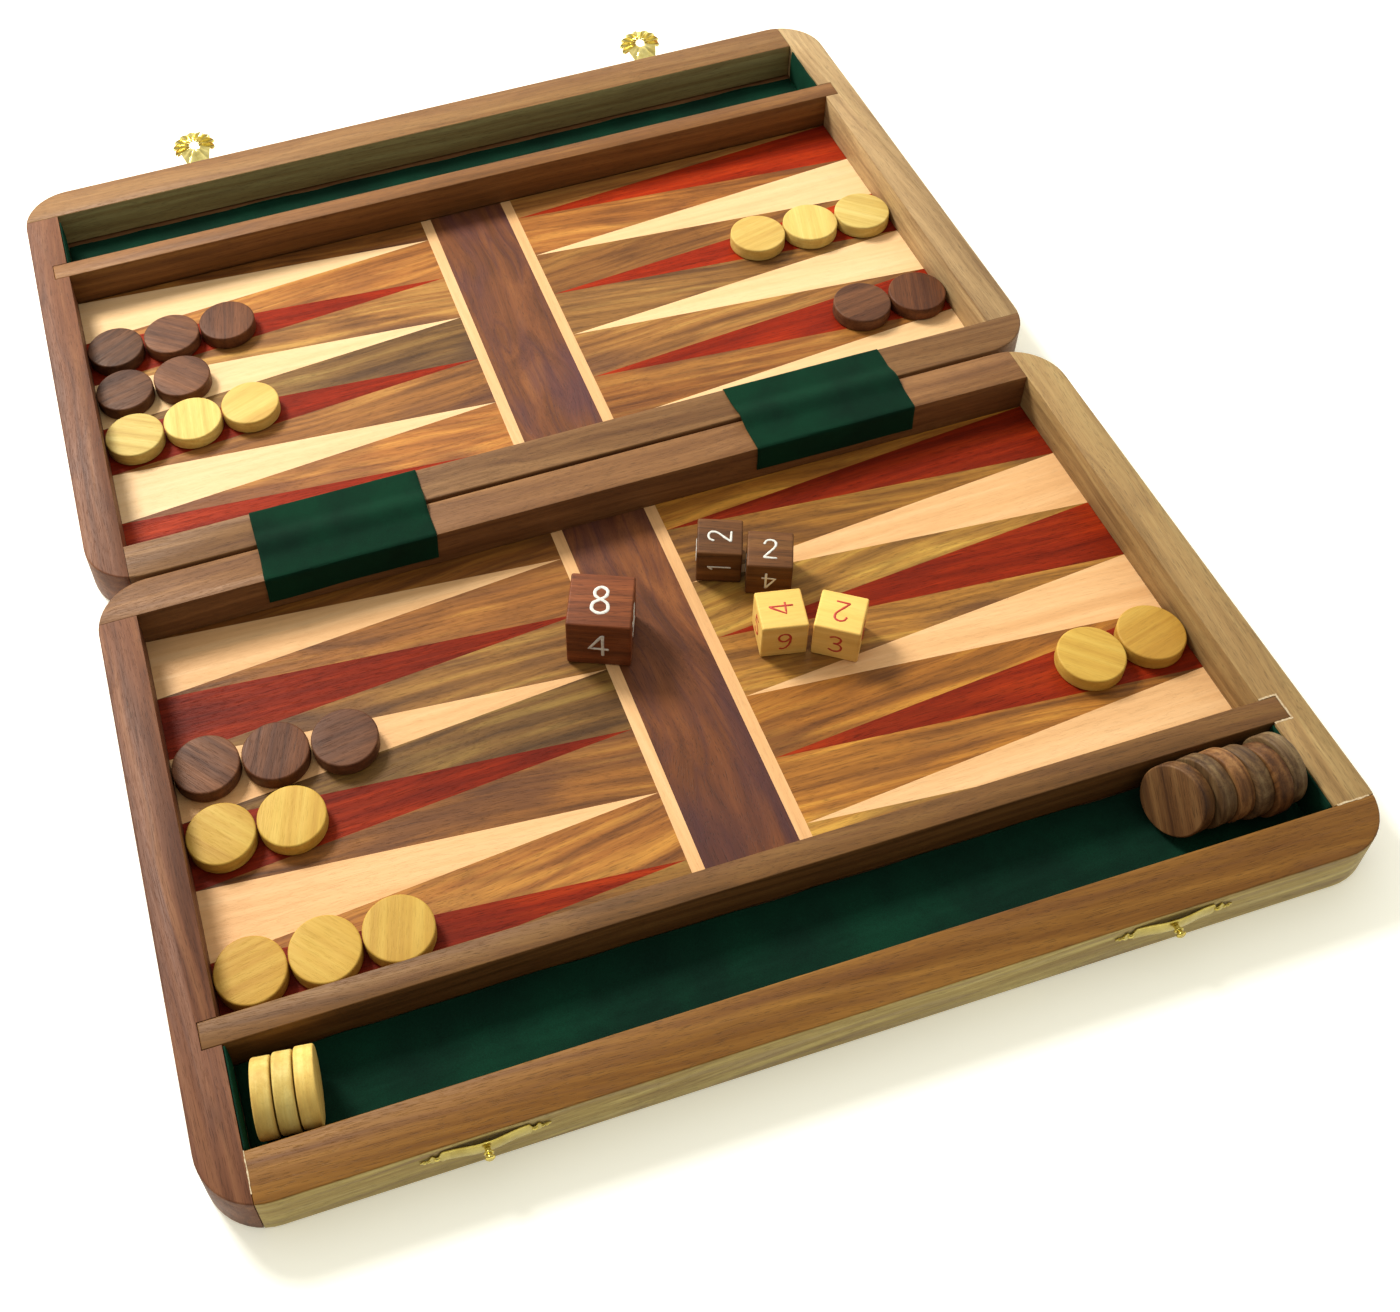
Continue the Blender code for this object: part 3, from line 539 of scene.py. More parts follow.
def thicken(obj, thickness, bevel=0.0):
    """Solidifies a sheet about its middle and applies it."""
    solid = obj.modifiers.new("thickness", "SOLIDIFY")
    solid.thickness = thickness
    solid.offset = 0.0
    if bevel:
        edge = obj.modifiers.new("edge", "BEVEL")
        edge.width = bevel
        edge.segments = 2
        edge.limit_method = "ANGLE"
        edge.angle_limit = math.radians(60)
    bpy.context.view_layer.update()
    evaluated = obj.evaluated_get(bpy.context.evaluated_depsgraph_get())
    mesh = bpy.data.meshes.new_from_object(evaluated)
    mesh.name = obj.name
    obj.modifiers.clear()
    obj.data = mesh


def wave(value, seed):
    """A smooth wander between about -0.5 and 0.5."""
    return noise.noise(Vector((value, seed * 7.31, seed * 3.17)))


# ---- the wooden case ----
EASE = 0.00035  # rubbed edges


def eased_copy(node):
    """The CAD solid's shape with its flat faces rejoined and its sharp edges rubbed round."""
    bm = bmesh.new()
    bm.from_mesh(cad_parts[node].data)
    bmesh.ops.remove_doubles(bm, verts=bm.verts, dist=2e-6)
    bmesh.ops.dissolve_limit(bm, angle_limit=math.radians(1.0), verts=bm.verts, edges=bm.edges)
    sharp = [
        edge
        for edge in bm.edges
        if len(edge.link_faces) == 2 and edge.calc_face_angle(0.0) > math.radians(50)
    ]
    bmesh.ops.bevel(
        bm, geom=sharp, offset=EASE, segments=2, profile=0.5, affect="EDGES", clamp_overlap=True
    )
    face_outwards(bm)
    return bm


RAILS = {
    "near_front_rail": ("front", "X", 0.3),
    "near_hinge_rail": ("hinge", "X", 1.4),
    "near_left_rail": ("purple", "Y", 2.7),
    "near_right_rail": ("tan", "Y", 3.1),
    "near_divider": ("divider", "X", 4.6),
    "far_back_rail": ("back", "X", 5.2),
    "far_hinge_rail": ("hinge", "X", 6.9),
    "far_left_rail": ("purple", "Y", 7.4),
    "far_right_rail": ("pale_tan", "Y", 8.8),
    "far_divider": ("far_divider", "X", 9.5),
}


def build_rails():
    for node, (look, grain, seed) in RAILS.items():
        half = node.split("_")[0]
        material = wood(f"wood_{node}", look, grain, seed)
        new_piece(
            f"{node}_wood", eased_copy(node), material, f"{half}_half", (node,), sharp=40
        )


FILLER_WIDTH = 0.0006
FILLER_DEEP = 0.0006
FILLER_PROUD = 0.00005


def ragged_outline(x_low, x_high, y_low, y_high, steps=14):
    """A thin strip seen from above, its long edges a little ragged."""
    along_x = x_high - x_low > y_high - y_low
    outline = []
    for edge in (0, 1):
        for i in range(steps + 1):
            share = i / steps if edge == 0 else 1 - i / steps
            ragged = FILLER_WIDTH * 0.35 * wave(share * 9 + edge * 4, x_low * 90)
            if along_x:
                side = y_low - ragged if edge == 0 else y_high + ragged
                outline.append((x_low + (x_high - x_low) * share, side))
            else:
                side = x_high + ragged if edge == 0 else x_low - ragged
                outline.append((side, y_low + (y_high - y_low) * share))
    return outline


def build_fillers():
    """Pale filler rubbed into the joints: round one end of the near divider and at two corners."""
    divider_low, divider_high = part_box("near_divider")
    inner = low("near_right_rail").x
    left = low("near_front_rail").x
    joint = low("near_right_rail").y
    width = FILLER_WIDTH
    strips = [
        (inner, divider_high.x, divider_high.y, divider_high.y + width),
        (inner, divider_high.x, divider_low.y - width, divider_low.y),
        (divider_high.x, divider_high.x + width, divider_low.y - width, divider_high.y + width),
        (inner + 0.001, high("near_right_rail").x - 0.002, joint - width / 2, joint + width / 2),
        (left - width / 4, left + width / 4, low("near_front_rail").y + 0.004, joint),
    ]
    bm = bmesh.new()
    for strip in strips:
        add_prism(bm, ragged_outline(*strip), RIM_Z - FILLER_DEEP, RIM_Z + FILLER_PROUD)
    face_outwards(bm)
    new_piece("joint_filler", bm, filler("pale_filler"), "near_half")


def side_outlines(half, sign):
    """Plan outlines on one side of the bar: the light points, the red points and the ground."""
    start, end = FIELDS[half]
    edge = FIELD_RIGHT if sign > 0 else FIELD_LEFT
    tip = BAR[1] + STRING if sign > 0 else BAR[0] - STRING
    pitch = (end - start) / POINTS
    lights = []
    reds = []
    ground = []
    for k in range(POINTS):
        base = start + k * pitch
        point = [(edge, base), (edge, base + pitch), (tip, base + pitch / 2)]
        is_light = ((half, sign) in LIGHT_FIRST) == (k % 2 == 0)
        (lights if is_light else reds).append(point)
        before = max(k - 0.5, 0) * pitch + start
        ground.append([(edge, base), (tip, base + pitch / 2), (tip, before)])
    ground.append([(edge, end), (tip, end), (tip, end - pitch / 2)])
    return lights, reds, ground


def build_field(half):
    """The veneers of one playing field on their base panel."""
    is_near = half == "near"
    start, end = FIELDS[half]
    seed = 0.0 if is_near else 31.0
    lights = []
    reds = []
    for name, sign in SIDES:
        side_lights, side_reds, ground = side_outlines(half, sign)
        lights += side_lights
        reds += side_reds
        piece = f"{half}_ground_{name}"
        ground_wood = wood(piece, GROUNDS.get((half, name), "ground"))
        inlay(piece, ground, ground_wood, half, seed + 5 + sign, 2.09)
    maple = wood(f"{half}_maple", "pink_maple" if is_near else "maple")
    inlay(f"{half}_points_light", lights, maple, half, seed)
    padauk = wood(f"{half}_padauk", "padauk" if is_near else "bright_padauk")
    inlay(f"{half}_points_red", reds, padauk, half, seed)
    left, right = BAR
    strings = [rectangle(left - STRING, start, left, end), rectangle(right, start, right + STRING, end)]
    inlay(f"{half}_bar_strings", strings, wood(f"{half}_string", "pink_maple", "Y"), half, seed + 2)
    bar_wood = wood(f"{half}_bar", "bar" if is_near else "far_bar", "Y")
    inlay(f"{half}_bar", [rectangle(left, start, right, end)], bar_wood, half, seed + 9)
    build_panel(half)


def build_panel(half):
    """The base panel under the veneers, with its edges eased; it shows from below."""
    node = f"{half}_base_panel"
    lowest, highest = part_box(node)
    bm = bmesh.new()
    plan = rectangle(lowest.x, lowest.y, highest.x, highest.y)
    add_prism(bm, plan, lowest.z, BOARD_Z - VENEER - PANEL_GAP)
    bmesh.ops.bevel(bm, geom=list(bm.edges), offset=0.0004, segments=2, affect="EDGES")
    face_outwards(bm)
    material = wood(f"wood_{node}", "panel", "X", 12.5)
    new_piece(f"{node}_wood", bm, material, f"{half}_half", (node,))


# ---- velvet ----
def path_points(corners, radius, steps=4):
    """A polyline through the corners with its inner corners rounded, as (y, z) points."""
    corners = [Vector(corner) for corner in corners]
    points = [corners[0]]
    for before, corner, after in zip(corners, corners[1:], corners[2:]):
        start = corner + (before - corner) * min(0.4, radius / (before - corner).length)
        end = corner + (after - corner) * min(0.4, radius / (after - corner).length)
        for i in range(steps + 1):
            share = i / steps
            points.append(start.lerp(corner, share).lerp(corner.lerp(end, share), share))
    points.append(corners[-1])
    return points


def along(points, share):
    """The point at a share of a polyline's length."""
    lengths = [(b - a).length for a, b in zip(points, points[1:])]
    left = share * sum(lengths)
    for a, b, length in zip(points, points[1:], lengths):
        if left <= length:
            return a.lerp(b, left / length)
        left -= length
    return points[-1]


def build_lining(half, cloth):
    """A velvet floor turned up a little on both long walls, and a pad on each end wall."""
    body = f"{half}_half"
    node = f"{half}_tray_lining"
    lowest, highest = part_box(node)
    y_low = lowest.y + CLOTH_SKIN
    y_high = highest.y - CLOTH_SKIN
    floor = lowest.z + CLOTH_SKIN
    x_low = lowest.x + PAD_SHORT
    x_high = highest.x - PAD_SHORT

    def floor_point(u, v):
        x = x_low + (x_high - x_low) * u
        near_edge = lowest.z + TURN_UP + 0.0009 * wave(x * 60, 1)
        far_edge = lowest.z + TURN_UP + 0.0009 * wave(x * 60, 2)
        corners = [(y_low, near_edge), (y_low, floor), (y_high, floor), (y_high, far_edge)]
        y, z = along(path_points(corners, TURN_BEND), v)
        pucker = 0.00035 * (0.5 + wave(x * 110, 5 + 3 * v)) * math.sin(math.pi * v) ** 2
        return (x, y, z + pucker)

    bm = grid_sheet(150, 34, floor_point)
    sheet = new_piece(f"{half}_velvet_floor", bm, cloth, None)
    thicken(sheet, CLOTH)
    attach(sheet, body)
    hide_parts(node)

    top = highest.z
    for side, sign in SIDES:
        wall = highest.x if sign > 0 else lowest.x

        def end_point(u, v, wall=wall, sign=sign):
            y = y_low + (y_high - y_low) * u
            height = top - lowest.z - 0.0006 + 0.0005 * wave(y * 90, 9 + sign)
            z = lowest.z + 0.0003 + height * v
            swell = 0.00025 * math.sin(math.pi * v) * (1 + wave(y * 120, 4))
            return (wall - sign * (CLOTH_SKIN + swell), y, z)

        pad = new_piece(f"{half}_velvet_end_{side}", grid_sheet(28, 16, end_point), cloth, None)
        thicken(pad, CLOTH)
        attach(pad, body)


def build_strap(side, cloth):
    """A velvet strap glued over both hinge rails and arched over the knuckles."""
    node = f"strap_{side}"
    lowest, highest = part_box(node)
    wall_near = low("near_hinge_rail").y - CLOTH_SKIN
    wall_far = high("far_hinge_rail").y + CLOTH_SKIN
    top = RIM_Z + CLOTH_SKIN
    rise = highest.z - RIM_Z - CLOTH - 0.0003
    flat_near = SEAM_Y - STRAP_ARCH
    flat_far = SEAM_Y + STRAP_ARCH
    seed = 3 if side == "left" else 8

    def cross_section(x):
        drop_near = STRAP_DROP + 0.0008 * wave(x * 45, seed)
        drop_far = STRAP_DROP + 0.0006 * wave(x * 45, seed + 1)
        corners = [(wall_near, RIM_Z - drop_near), (wall_near, top), (flat_near, top)]
        for fifth in range(-4, 5):
            share = fifth / 5
            height = rise * math.cos(math.pi / 2 * share) ** 2
            corners.append((SEAM_Y + STRAP_ARCH * share, top + height))
        corners += [(flat_far, top), (wall_far, top), (wall_far, RIM_Z - drop_far)]
        return path_points(corners, STRAP_BEND, 3)

    def point(u, v):
        lean = 0.0011 * (v - 0.5) * (1 if side == "left" else -1)
        margin = 0.0004 * wave(v * 5, seed + 2)
        x = lowest.x + (highest.x - lowest.x) * u + lean + margin * (2 * u - 1)
        y, z = along(cross_section(x), v)
        return (x, y, z)

    bm = grid_sheet(52, 110, point)
    strap = new_piece(f"velvet_strap_{side}", bm, cloth, None)
    thicken(strap, CLOTH)
    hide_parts(node)
    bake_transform(strap)


# ---- brass ----
SHELL_LOBES = 9
SHELL_START = math.radians(-34.0)  # where the scallops begin, below the level of the hole
HASP_REST = math.radians(28 - 90)
HASP_OFFSET = 0.0009  # from the hinge axis to the back of the sheet
HASP_SHEET = 0.0005
HASP_HOLE_R = 0.0021
HASP_HOLE_OUT = 0.0115  # from the hinge axis to the middle of the hole
SHELL_HALF_WIDTH = 0.0094
SHELL_REACH = 0.0068
SHELL_LOBE = 0.0016
FLUTE = 0.0019  # height of the shell's ribs
HOLE_RIM = 0.0005
NECK_HALF = 0.0056
NECK_FLUTE = 0.25  # of the shell's
KNUCKLE_R = 0.0013
KNUCKLE_EASE = 0.0002
KNUCKLE_GAP = 0.00265  # half the gap for the plate's knuckle


def fan_edge(share):
    """Edge of the shell: angle, x, distance from the hinge axis, and how far on a rib it is."""
    angle = SHELL_START + (math.pi - 2 * SHELL_START) * share
    rib = abs(math.sin(math.pi * SHELL_LOBES * share)) ** 0.6
    lobe = SHELL_LOBE * (rib - 0.75)
    x = (SHELL_HALF_WIDTH + lobe) * math.cos(angle)
    return angle, x, HASP_HOLE_OUT + (SHELL_REACH + lobe) * math.sin(angle), rib


def shell_bmesh():
    """The fluted fan round the hole, and the neck down to the hinge, as one embossed sheet."""
    fan_steps = SHELL_LOBES * 10
    gap_steps = 20
    out_steps = 14
    outline = [(*fan_edge(i / fan_steps), 1.0) for i in range(fan_steps + 1)]
    neck = [outline[-1][1:3], (-NECK_HALF + 0.0004, 0.0030), (-NECK_HALF, 0.0008)]
    neck += [(NECK_HALF, 0.0008), (NECK_HALF - 0.0004, 0.0030), outline[0][1:3]]
    for i in range(1, gap_steps):
        share = i / gap_steps
        angle = math.pi - SHELL_START + (math.pi + 2 * SHELL_START) * share
        place = along([Vector(p) for p in neck], share)
        rib = 0.5 + 0.5 * math.cos(share * math.pi * 8)
        outline.append((angle, place.x, place.y, rib, NECK_FLUTE))

    bm = bmesh.new()
    spokes = []
    for angle, x, far, rib, depth in outline:
        inner_x = HASP_HOLE_R * math.cos(angle)
        inner_far = HASP_HOLE_OUT + HASP_HOLE_R * math.sin(angle)
        spoke = []
        for j in range(out_steps + 1):
            out = j / out_steps
            emboss = FLUTE * depth * rib * min(1.0, out * 2.6)
            rim = HOLE_RIM * max(0.0, 1 - out * 6)
            across = inner_x + (x - inner_x) * out
            reach = inner_far + (far - inner_far) * out
            spoke.append(bm.verts.new((across, HASP_OFFSET + emboss + rim, reach)))
        spokes.append(spoke)
    for first, second in zip(spokes, spokes[1:] + spokes[:1]):
        for j in range(out_steps):
            bm.faces.new((first[j], second[j], second[j + 1], first[j + 1]))
    face_outwards(bm)
    return bm


def knuckle_bmesh(x_low, x_high):
    """A knuckle along X with rubbed ends."""
    inner = KNUCKLE_R - KNUCKLE_EASE
    profile = [(0.0, x_low), (inner, x_low), (KNUCKLE_R, x_low + KNUCKLE_EASE)]
    profile += [(KNUCKLE_R, x_high - KNUCKLE_EASE), (inner, x_high), (0.0, x_high)]
    bm = turned(profile, 28)
    bm.transform(Matrix.Rotation(math.pi / 2, 4, "Y"))
    return bm


def merged(*parts):
    """Several bmeshes as one, each still a closed shell of its own."""
    whole = bmesh.new()
    for part in parts:
        mesh = bpy.data.meshes.new("part")
        part.to_mesh(mesh)
        part.free()
        whole.from_mesh(mesh)
        bpy.data.meshes.remove(mesh)
    return whole


def pressed(name, bm, metal, thickness, bevel):
    """A sheet given its thickness and rubbed edges, as a bmesh again."""
    sheet = new_piece(name, bm, metal)
    thicken(sheet, thickness, bevel)
    solid = bmesh.new()
    solid.from_mesh(sheet.data)
    bpy.data.objects.remove(sheet)
    return solid


def coat(node, material):
    """Gives a CAD node that shows as it is its material."""
    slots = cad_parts[node].data.materials
    slots.clear()
    slots.append(material)


def build_hasp(side, metal):
    """Built in the hasp's own frame, hinge axis along X and +Z to the tip, then set at rest."""
    axis = centre_of(f"hasp_pin_{side}")
    bm = merged(
        pressed(f"hasp_sheet_{side}", shell_bmesh(), metal, HASP_SHEET, 0.00012),
        knuckle_bmesh(-NECK_HALF, -KNUCKLE_GAP),
        knuckle_bmesh(KNUCKLE_GAP, NECK_HALF),
    )
    bm.transform(Matrix.Translation(axis) @ Matrix.Rotation(HASP_REST, 4, "X"))
    new_piece(f"shell_hasp_{side}", bm, metal, f"hasp_{side}", (f"hasp_{side}",), sharp=50)


def dome_bmesh(radius, height, centre, outwards):
    """A round nail head standing on a wall that faces +Y or -Y."""
    profile = [(0.0, -0.0004), (radius * 0.6, -0.0004), (radius, 0.0)]
    for i in range(1, 6):
        angle = math.pi / 2 * i / 6
        profile.append((radius * math.cos(angle), height * math.sin(angle)))
    profile.append((0.0, height))
    bm = turned(profile, 24)
    turn = -math.pi / 2 if outwards > 0 else math.pi / 2
    bm.transform(Matrix.Translation(centre) @ Matrix.Rotation(turn, 4, "X"))
    return bm


PLATE_SHEET = 0.0006
# the nails in a hasp's plate: across from its middle, and up from its lower edge
PLATE_NAILS = ((-0.0044, 0.0043), (0.0044, 0.0043), (0.0, 0.0019))


def build_hasp_plate(side, metal):
    """Three nails on the CAD plate, which keeps its own shape."""
    node = f"hasp_plate_{side}"
    face = low(node).y + PLATE_SHEET
    middle = centre_of(node).x
    nails = [
        dome_bmesh(0.0009, 0.0005, (middle + across, face, low(node).z + up), 1)
        for across, up in PLATE_NAILS
    ]
    new_piece(f"hasp_plate_nails_{side}", merged(*nails), metal, "far_half", seed=0.0)
    coat(node, metal)


STRIKE_SHEET = 0.0006
STRIKE_SEAT = 0.00015  # from the wall to the back of the strip
STRIKE_HALF = 0.0030  # half the strip's height
STRIKE_TIP = 0.00035
STRIKE_BOW = 0.0012  # how far the strip's middle stands out
BOW_SHARE = 0.66  # of the strip's length
STRIKE_NAIL = 0.745  # of the half length
STRIKE_BEADS = (0.87, 0.93)


def strike_height(share):
    """Half height at a share of the half length: straight, a waist, a leaf and a point."""
    if share < BOW_SHARE:
        return STRIKE_HALF
    tail = (share - BOW_SHARE) / (1 - BOW_SHARE)
    leaf = 0.62 + 0.38 * math.cos(tail * 4.4 * math.pi)
    return max(STRIKE_HALF * (1 - tail**1.6) * leaf, STRIKE_TIP)


def build_strike(side, metal):
    """A bowed strip with leaf-shaped, pointed ends, nailed to the front wall, and its beaded peg."""
    node = f"strike_plate_{side}"
    wall = low("near_front_rail").y
    half_length = (high(node).x - low(node).x) / 2
    middle, _, z_middle = centre_of(node)

    def point(u, v):
        share = abs(2 * u - 1)
        lift = 0.0
        rolled = 0.00008
        if share < BOW_SHARE:
            lift = STRIKE_BOW * math.cos(math.pi / 2 * share / BOW_SHARE) ** 2
            rolled = 0.00018 * math.cos(math.pi * (v - 0.5))
        out = STRIKE_SEAT + STRIKE_SHEET / 2 + lift + rolled
        z = z_middle + strike_height(share) * (2 * v - 1)
        return (middle + (2 * u - 1) * half_length, wall - out, z)

    strip = grid_sheet(120, 10, point)
    parts = [pressed(f"strike_strip_{side}", strip, metal, STRIKE_SHEET * 0.8, 0.0001)]
    face = wall - STRIKE_SEAT - STRIKE_SHEET
    for sign in (-1, 1):
        centre = (middle + sign * STRIKE_NAIL * half_length, face, z_middle)
        parts.append(dome_bmesh(0.0010, 0.0007, centre, -1))
        for bead in STRIKE_BEADS:
            centre = (middle + sign * bead * half_length, face, z_middle)
            parts.append(dome_bmesh(0.00055, 0.0004, centre, -1))
    parts.append(peg_bmesh(middle, wall, z_middle - 0.0002, low(node).y))
    new_piece(
        f"strike_{side}", merged(*parts), metal, "near_half", (node,), seed=0.0, sharp=50
    )


def peg_bmesh(x, wall, z, tip):
    """A turned peg with two beads and a collar, pointing out of the front wall."""
    reach = wall - tip
    neck = 0.0009
    bead = 0.0016
    half = (reach - 0.0028) / 4
    profile = [(0.0, 0.0006), (0.0021, 0.0006), (0.0023, 0.0012), (0.0021, 0.0018), (neck, 0.0022)]
    for centre in (reach - 3 * half, reach - half):
        for i in range(13):
            angle = math.pi * i / 12
            radius = max(neck if i < 12 or centre < reach - 2 * half else 0.0, bead * math.sin(angle))
            profile.append((radius, centre - half * math.cos(angle)))
    profile[-1] = (0.0, reach)
    bm = turned(profile, 32)
    bm.transform(Matrix.Translation((x, wall, z)) @ Matrix.Rotation(math.pi / 2, 4, "X"))
    return bm


# ---- playing pieces ----
def disc_bmesh():
    """A turned checker with softly rounded edges, standing on its underside at z = 0."""
    edge = 0.0007
    steps = 5
    flat = CHECKER_R - edge
    under = [
        (flat + edge * math.sin(a), edge - edge * math.cos(a))
        for a in (math.pi / 2 * i / steps for i in range(steps + 1))
    ]
    over = [(r, CHECKER_THICK - z) for r, z in reversed(under)]
    profile = [(0.0, 0.0), (flat * 0.5, 0.0)] + under + over + [(flat * 0.5, CHECKER_THICK)]
    return turned(profile + [(0.0, CHECKER_THICK)], 80)


def add_checker(name, node, material, seed, matrix):
    new_piece(name, disc_bmesh(), material, node, (node,), seed=seed, matrix=matrix)


def build_checkers(woods):
    for node in sorted(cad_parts):
        if not node.startswith("checker_"):
            continue
        colour, number = node.split("_")[1:]
        number = int(number)
        centre = centre_of(node)
        is_pale = colour == "light" and centre.y > SEAM_Y
        material = woods["pale" if is_pale else colour]
        turn = Matrix.Rotation(number * 2.1 + (1.0 if colour == "dark" else 0.0), 4, "Z")
        matrix = Matrix.Translation((centre.x, centre.y, low(node).z)) @ turn
        add_checker(f"{node}_turned", node, material, 0.136 + number * 1.73, matrix)


def disc_on_edge(x, y, floor, lean, turn):
    """Matrix for a checker that stands on edge, its face towards -X."""
    lean = math.radians(lean)
    height = CHECKER_R * math.cos(lean) + CHECKER_THICK / 2 * math.sin(lean)
    return (
        Matrix.Translation((x, y + SEAM_Y, floor + height))
        @ Matrix.Rotation(math.radians(turn), 4, "Z")
        @ Matrix.Rotation(-math.pi / 2 + lean, 4, "Y")
        @ Matrix.Translation((0, 0, -CHECKER_THICK / 2))
    )


def build_tray_discs(woods):
    floor = low("tray_checkers_light").z
    for colour, discs in (("light", LIGHT_DISCS), ("dark", DARK_DISCS)):
        node = f"tray_checkers_{colour}"
        material = woods["pale" if colour == "light" else "mixed"]
        for i, (x, y, lean, turn) in enumerate(discs):
            matrix = disc_on_edge(x, y, floor, lean, turn) @ Matrix.Rotation(1.7 * i + 0.4, 4, "Z")
            name = f"tray_{colour}_{i + 1}"
            add_checker(name, node, material, 40.436 + 2.25 * i, matrix)


# numerals as pen strokes, in hundredths of their height: a box 60 wide and 100 high
STROKES = {
    "1": ("line 20,80 36,100 36,0",),
    "2": ("curve 4,76 13,94 32,100 50,92 54,74 46,55 22,26 3,2", "line 3,2 58,0"),
    "3": ("curve 5,90 25,100 47,92 50,74 40,58 22,53", "curve 22,53 46,47 56,27 46,6 24,0 3,10"),
    "4": ("line 43,0 43,100", "line 40,97 2,34 60,31"),
    "5": ("line 53,100 12,98 9,56", "curve 9,56 30,62 50,53 57,31 47,8 25,0 3,8"),
    "6": ("curve 50,96 30,98 13,78 5,45 9,14 27,0 48,6 56,26 46,45 27,50 8,34",),
    "8": ("curve 30,53 12,66 11,86 29,100 48,88 46,67 30,53 8,38 6,13 29,0 53,12 51,38 30,53",),
}


def smooth_line(points, steps=5):
    """A curve through the points."""
    padded = [points[0]] + points + [points[-1]]
    line = []
    for a, b, c, d in zip(padded, padded[1:], padded[2:], padded[3:]):
        for i in range(steps):
            t = i / steps
            bend = (2 * a - 5 * b + 4 * c - d) * t**2 + (3 * b - a - 3 * c + d) * t**3
            line.append(0.5 * (2 * b + (c - a) * t + bend))
    line.append(points[-1])
    return line


def stroke_bmesh(line, width, depth):
    """A painted stroke: a flat rounded ribbon along the line, lying on z = 0."""
    ring_steps = 8
    bm = bmesh.new()
    rings = []
    for i, point in enumerate(line):
        before = line[max(i - 1, 0)]
        after = line[min(i + 1, len(line) - 1)]
        direction = (after - before).normalized()
        side = Vector((-direction.y, direction.x))
        swell = 1.0 + 0.25 * wave(i * 0.6, width * 9000)
        ring = []
        for k in range(ring_steps):
            angle = 2 * math.pi * k / ring_steps
            place = point + side * (width / 2 * swell * math.cos(angle))
            ring.append(bm.verts.new((place.x, place.y, depth * math.sin(angle))))
        rings.append(ring)
    for first, second in zip(rings, rings[1:]):
        for k in range(ring_steps):
            m = (k + 1) % ring_steps
            bm.faces.new((first[k], first[m], second[m], second[k]))
    for ring, end, inner in ((rings[0], line[0], line[1]), (rings[-1], line[-1], line[-2])):
        cap = end + (end - inner).normalized() * width / 3
        tip = bm.verts.new((cap.x, cap.y, 0))
        for k in range(ring_steps):
            bm.faces.new((ring[k], ring[(k + 1) % ring_steps], tip))
    face_outwards(bm)
    return bm


def numeral_bmesh(text, height, width, depth):
    """The strokes of a number, centred on the origin in the XY plane."""
    parts = []
    advance = 0.74
    total = advance * (len(text) - 1) + 0.6
    for i, digit in enumerate(text):
        for stroke in STROKES[digit]:
            kind, *places = stroke.split()
            points = []
            for place in places:
                x, y = (int(part) / 100 for part in place.split(","))
                points.append(Vector(((x + advance * i - total / 2) * height, (y - 0.5) * height)))
            line = smooth_line(points) if kind == "curve" else straight_line(points)
            parts.append(stroke_bmesh(line, width, depth))
    return merged(*parts)


def straight_line(points, steps=4):
    line = [points[0]]
    for a, b in zip(points, points[1:]):
        line += [a.lerp(b, i / steps) for i in range(1, steps + 1)]
    return line


# how far each die is turned on the board, then the text on each of its faces and how far that is
# turned, seen from outside: top, front (-Y), right (+X), back, left, underside
DICE = {
    "doubling_cube": (-24.0, (("8", 0), ("4", 0), ("16", 90), ("32", 0), ("2", -90), ("64", 0))),
    "die_dark_1": (-22.7, (("2", 90), ("1", 90), ("4", 0), ("6", 0), ("3", 90), ("5", 0))),
    "die_dark_2": (-23.6, (("2", 0), ("4", 180), ("1", 0), ("3", 90), ("6", 0), ("5", 0))),
    "die_light_1": (-11.7, (("4", 90), ("6", 180), ("2", 90), ("1", 0), ("5", 0), ("3", 0))),
    "die_light_2": (-34.6, (("2", 180), ("3", 0), ("6", 0), ("4", 0), ("1", 0), ("5", 0))),
}
DIE_EDGE = 0.0008
# numerals, as shares of the die's edge: one digit, two digits, and the width of a stroke
NUMERAL_HEIGHT = 0.50
NUMERAL_PAIR = 0.40
NUMERAL_STROKE = 0.052
NUMERAL_DEPTH = 0.00018


def face_matrices(edge):
    """Places on the six faces, with +Z out of the face and +Y up the numeral."""
    quarter = math.pi / 2
    top = Matrix.Translation((0, 0, edge / 2))
    front = Matrix.Rotation(quarter, 4, "X") @ top
    walls = [Matrix.Rotation(quarter * k, 4, "Z") @ front for k in (0, 1, 2, -1)]
    return [top, *walls, Matrix.Rotation(2 * quarter, 4, "X") @ top]


def build_die(node, body_wood, ink, seed):
    edge = high(node).z - low(node).z
    degrees, faces = DICE[node]
    place = Matrix.Translation(centre_of(node)) @ Matrix.Rotation(math.radians(degrees), 4, "Z")
    bm = bmesh.new()
    bmesh.ops.create_cube(bm, size=edge)
    bmesh.ops.bevel(bm, geom=list(bm.edges), offset=DIE_EDGE, segments=5, profile=0.5, affect="EDGES")
    new_piece(f"{node}_block", bm, body_wood, node, (node,), seed=seed, matrix=place)
    marks = []
    for face, (text, angle) in zip(face_matrices(edge), faces):
        size = edge * (NUMERAL_PAIR if len(text) > 1 else NUMERAL_HEIGHT)
        mark = numeral_bmesh(text, size, edge * NUMERAL_STROKE, NUMERAL_DEPTH)
        mark.transform(face @ Matrix.Rotation(math.radians(angle), 4, "Z"))
        marks.append(mark)
    new_piece(f"{node}_numerals", merged(*marks), ink, node, sharp=60, matrix=place)


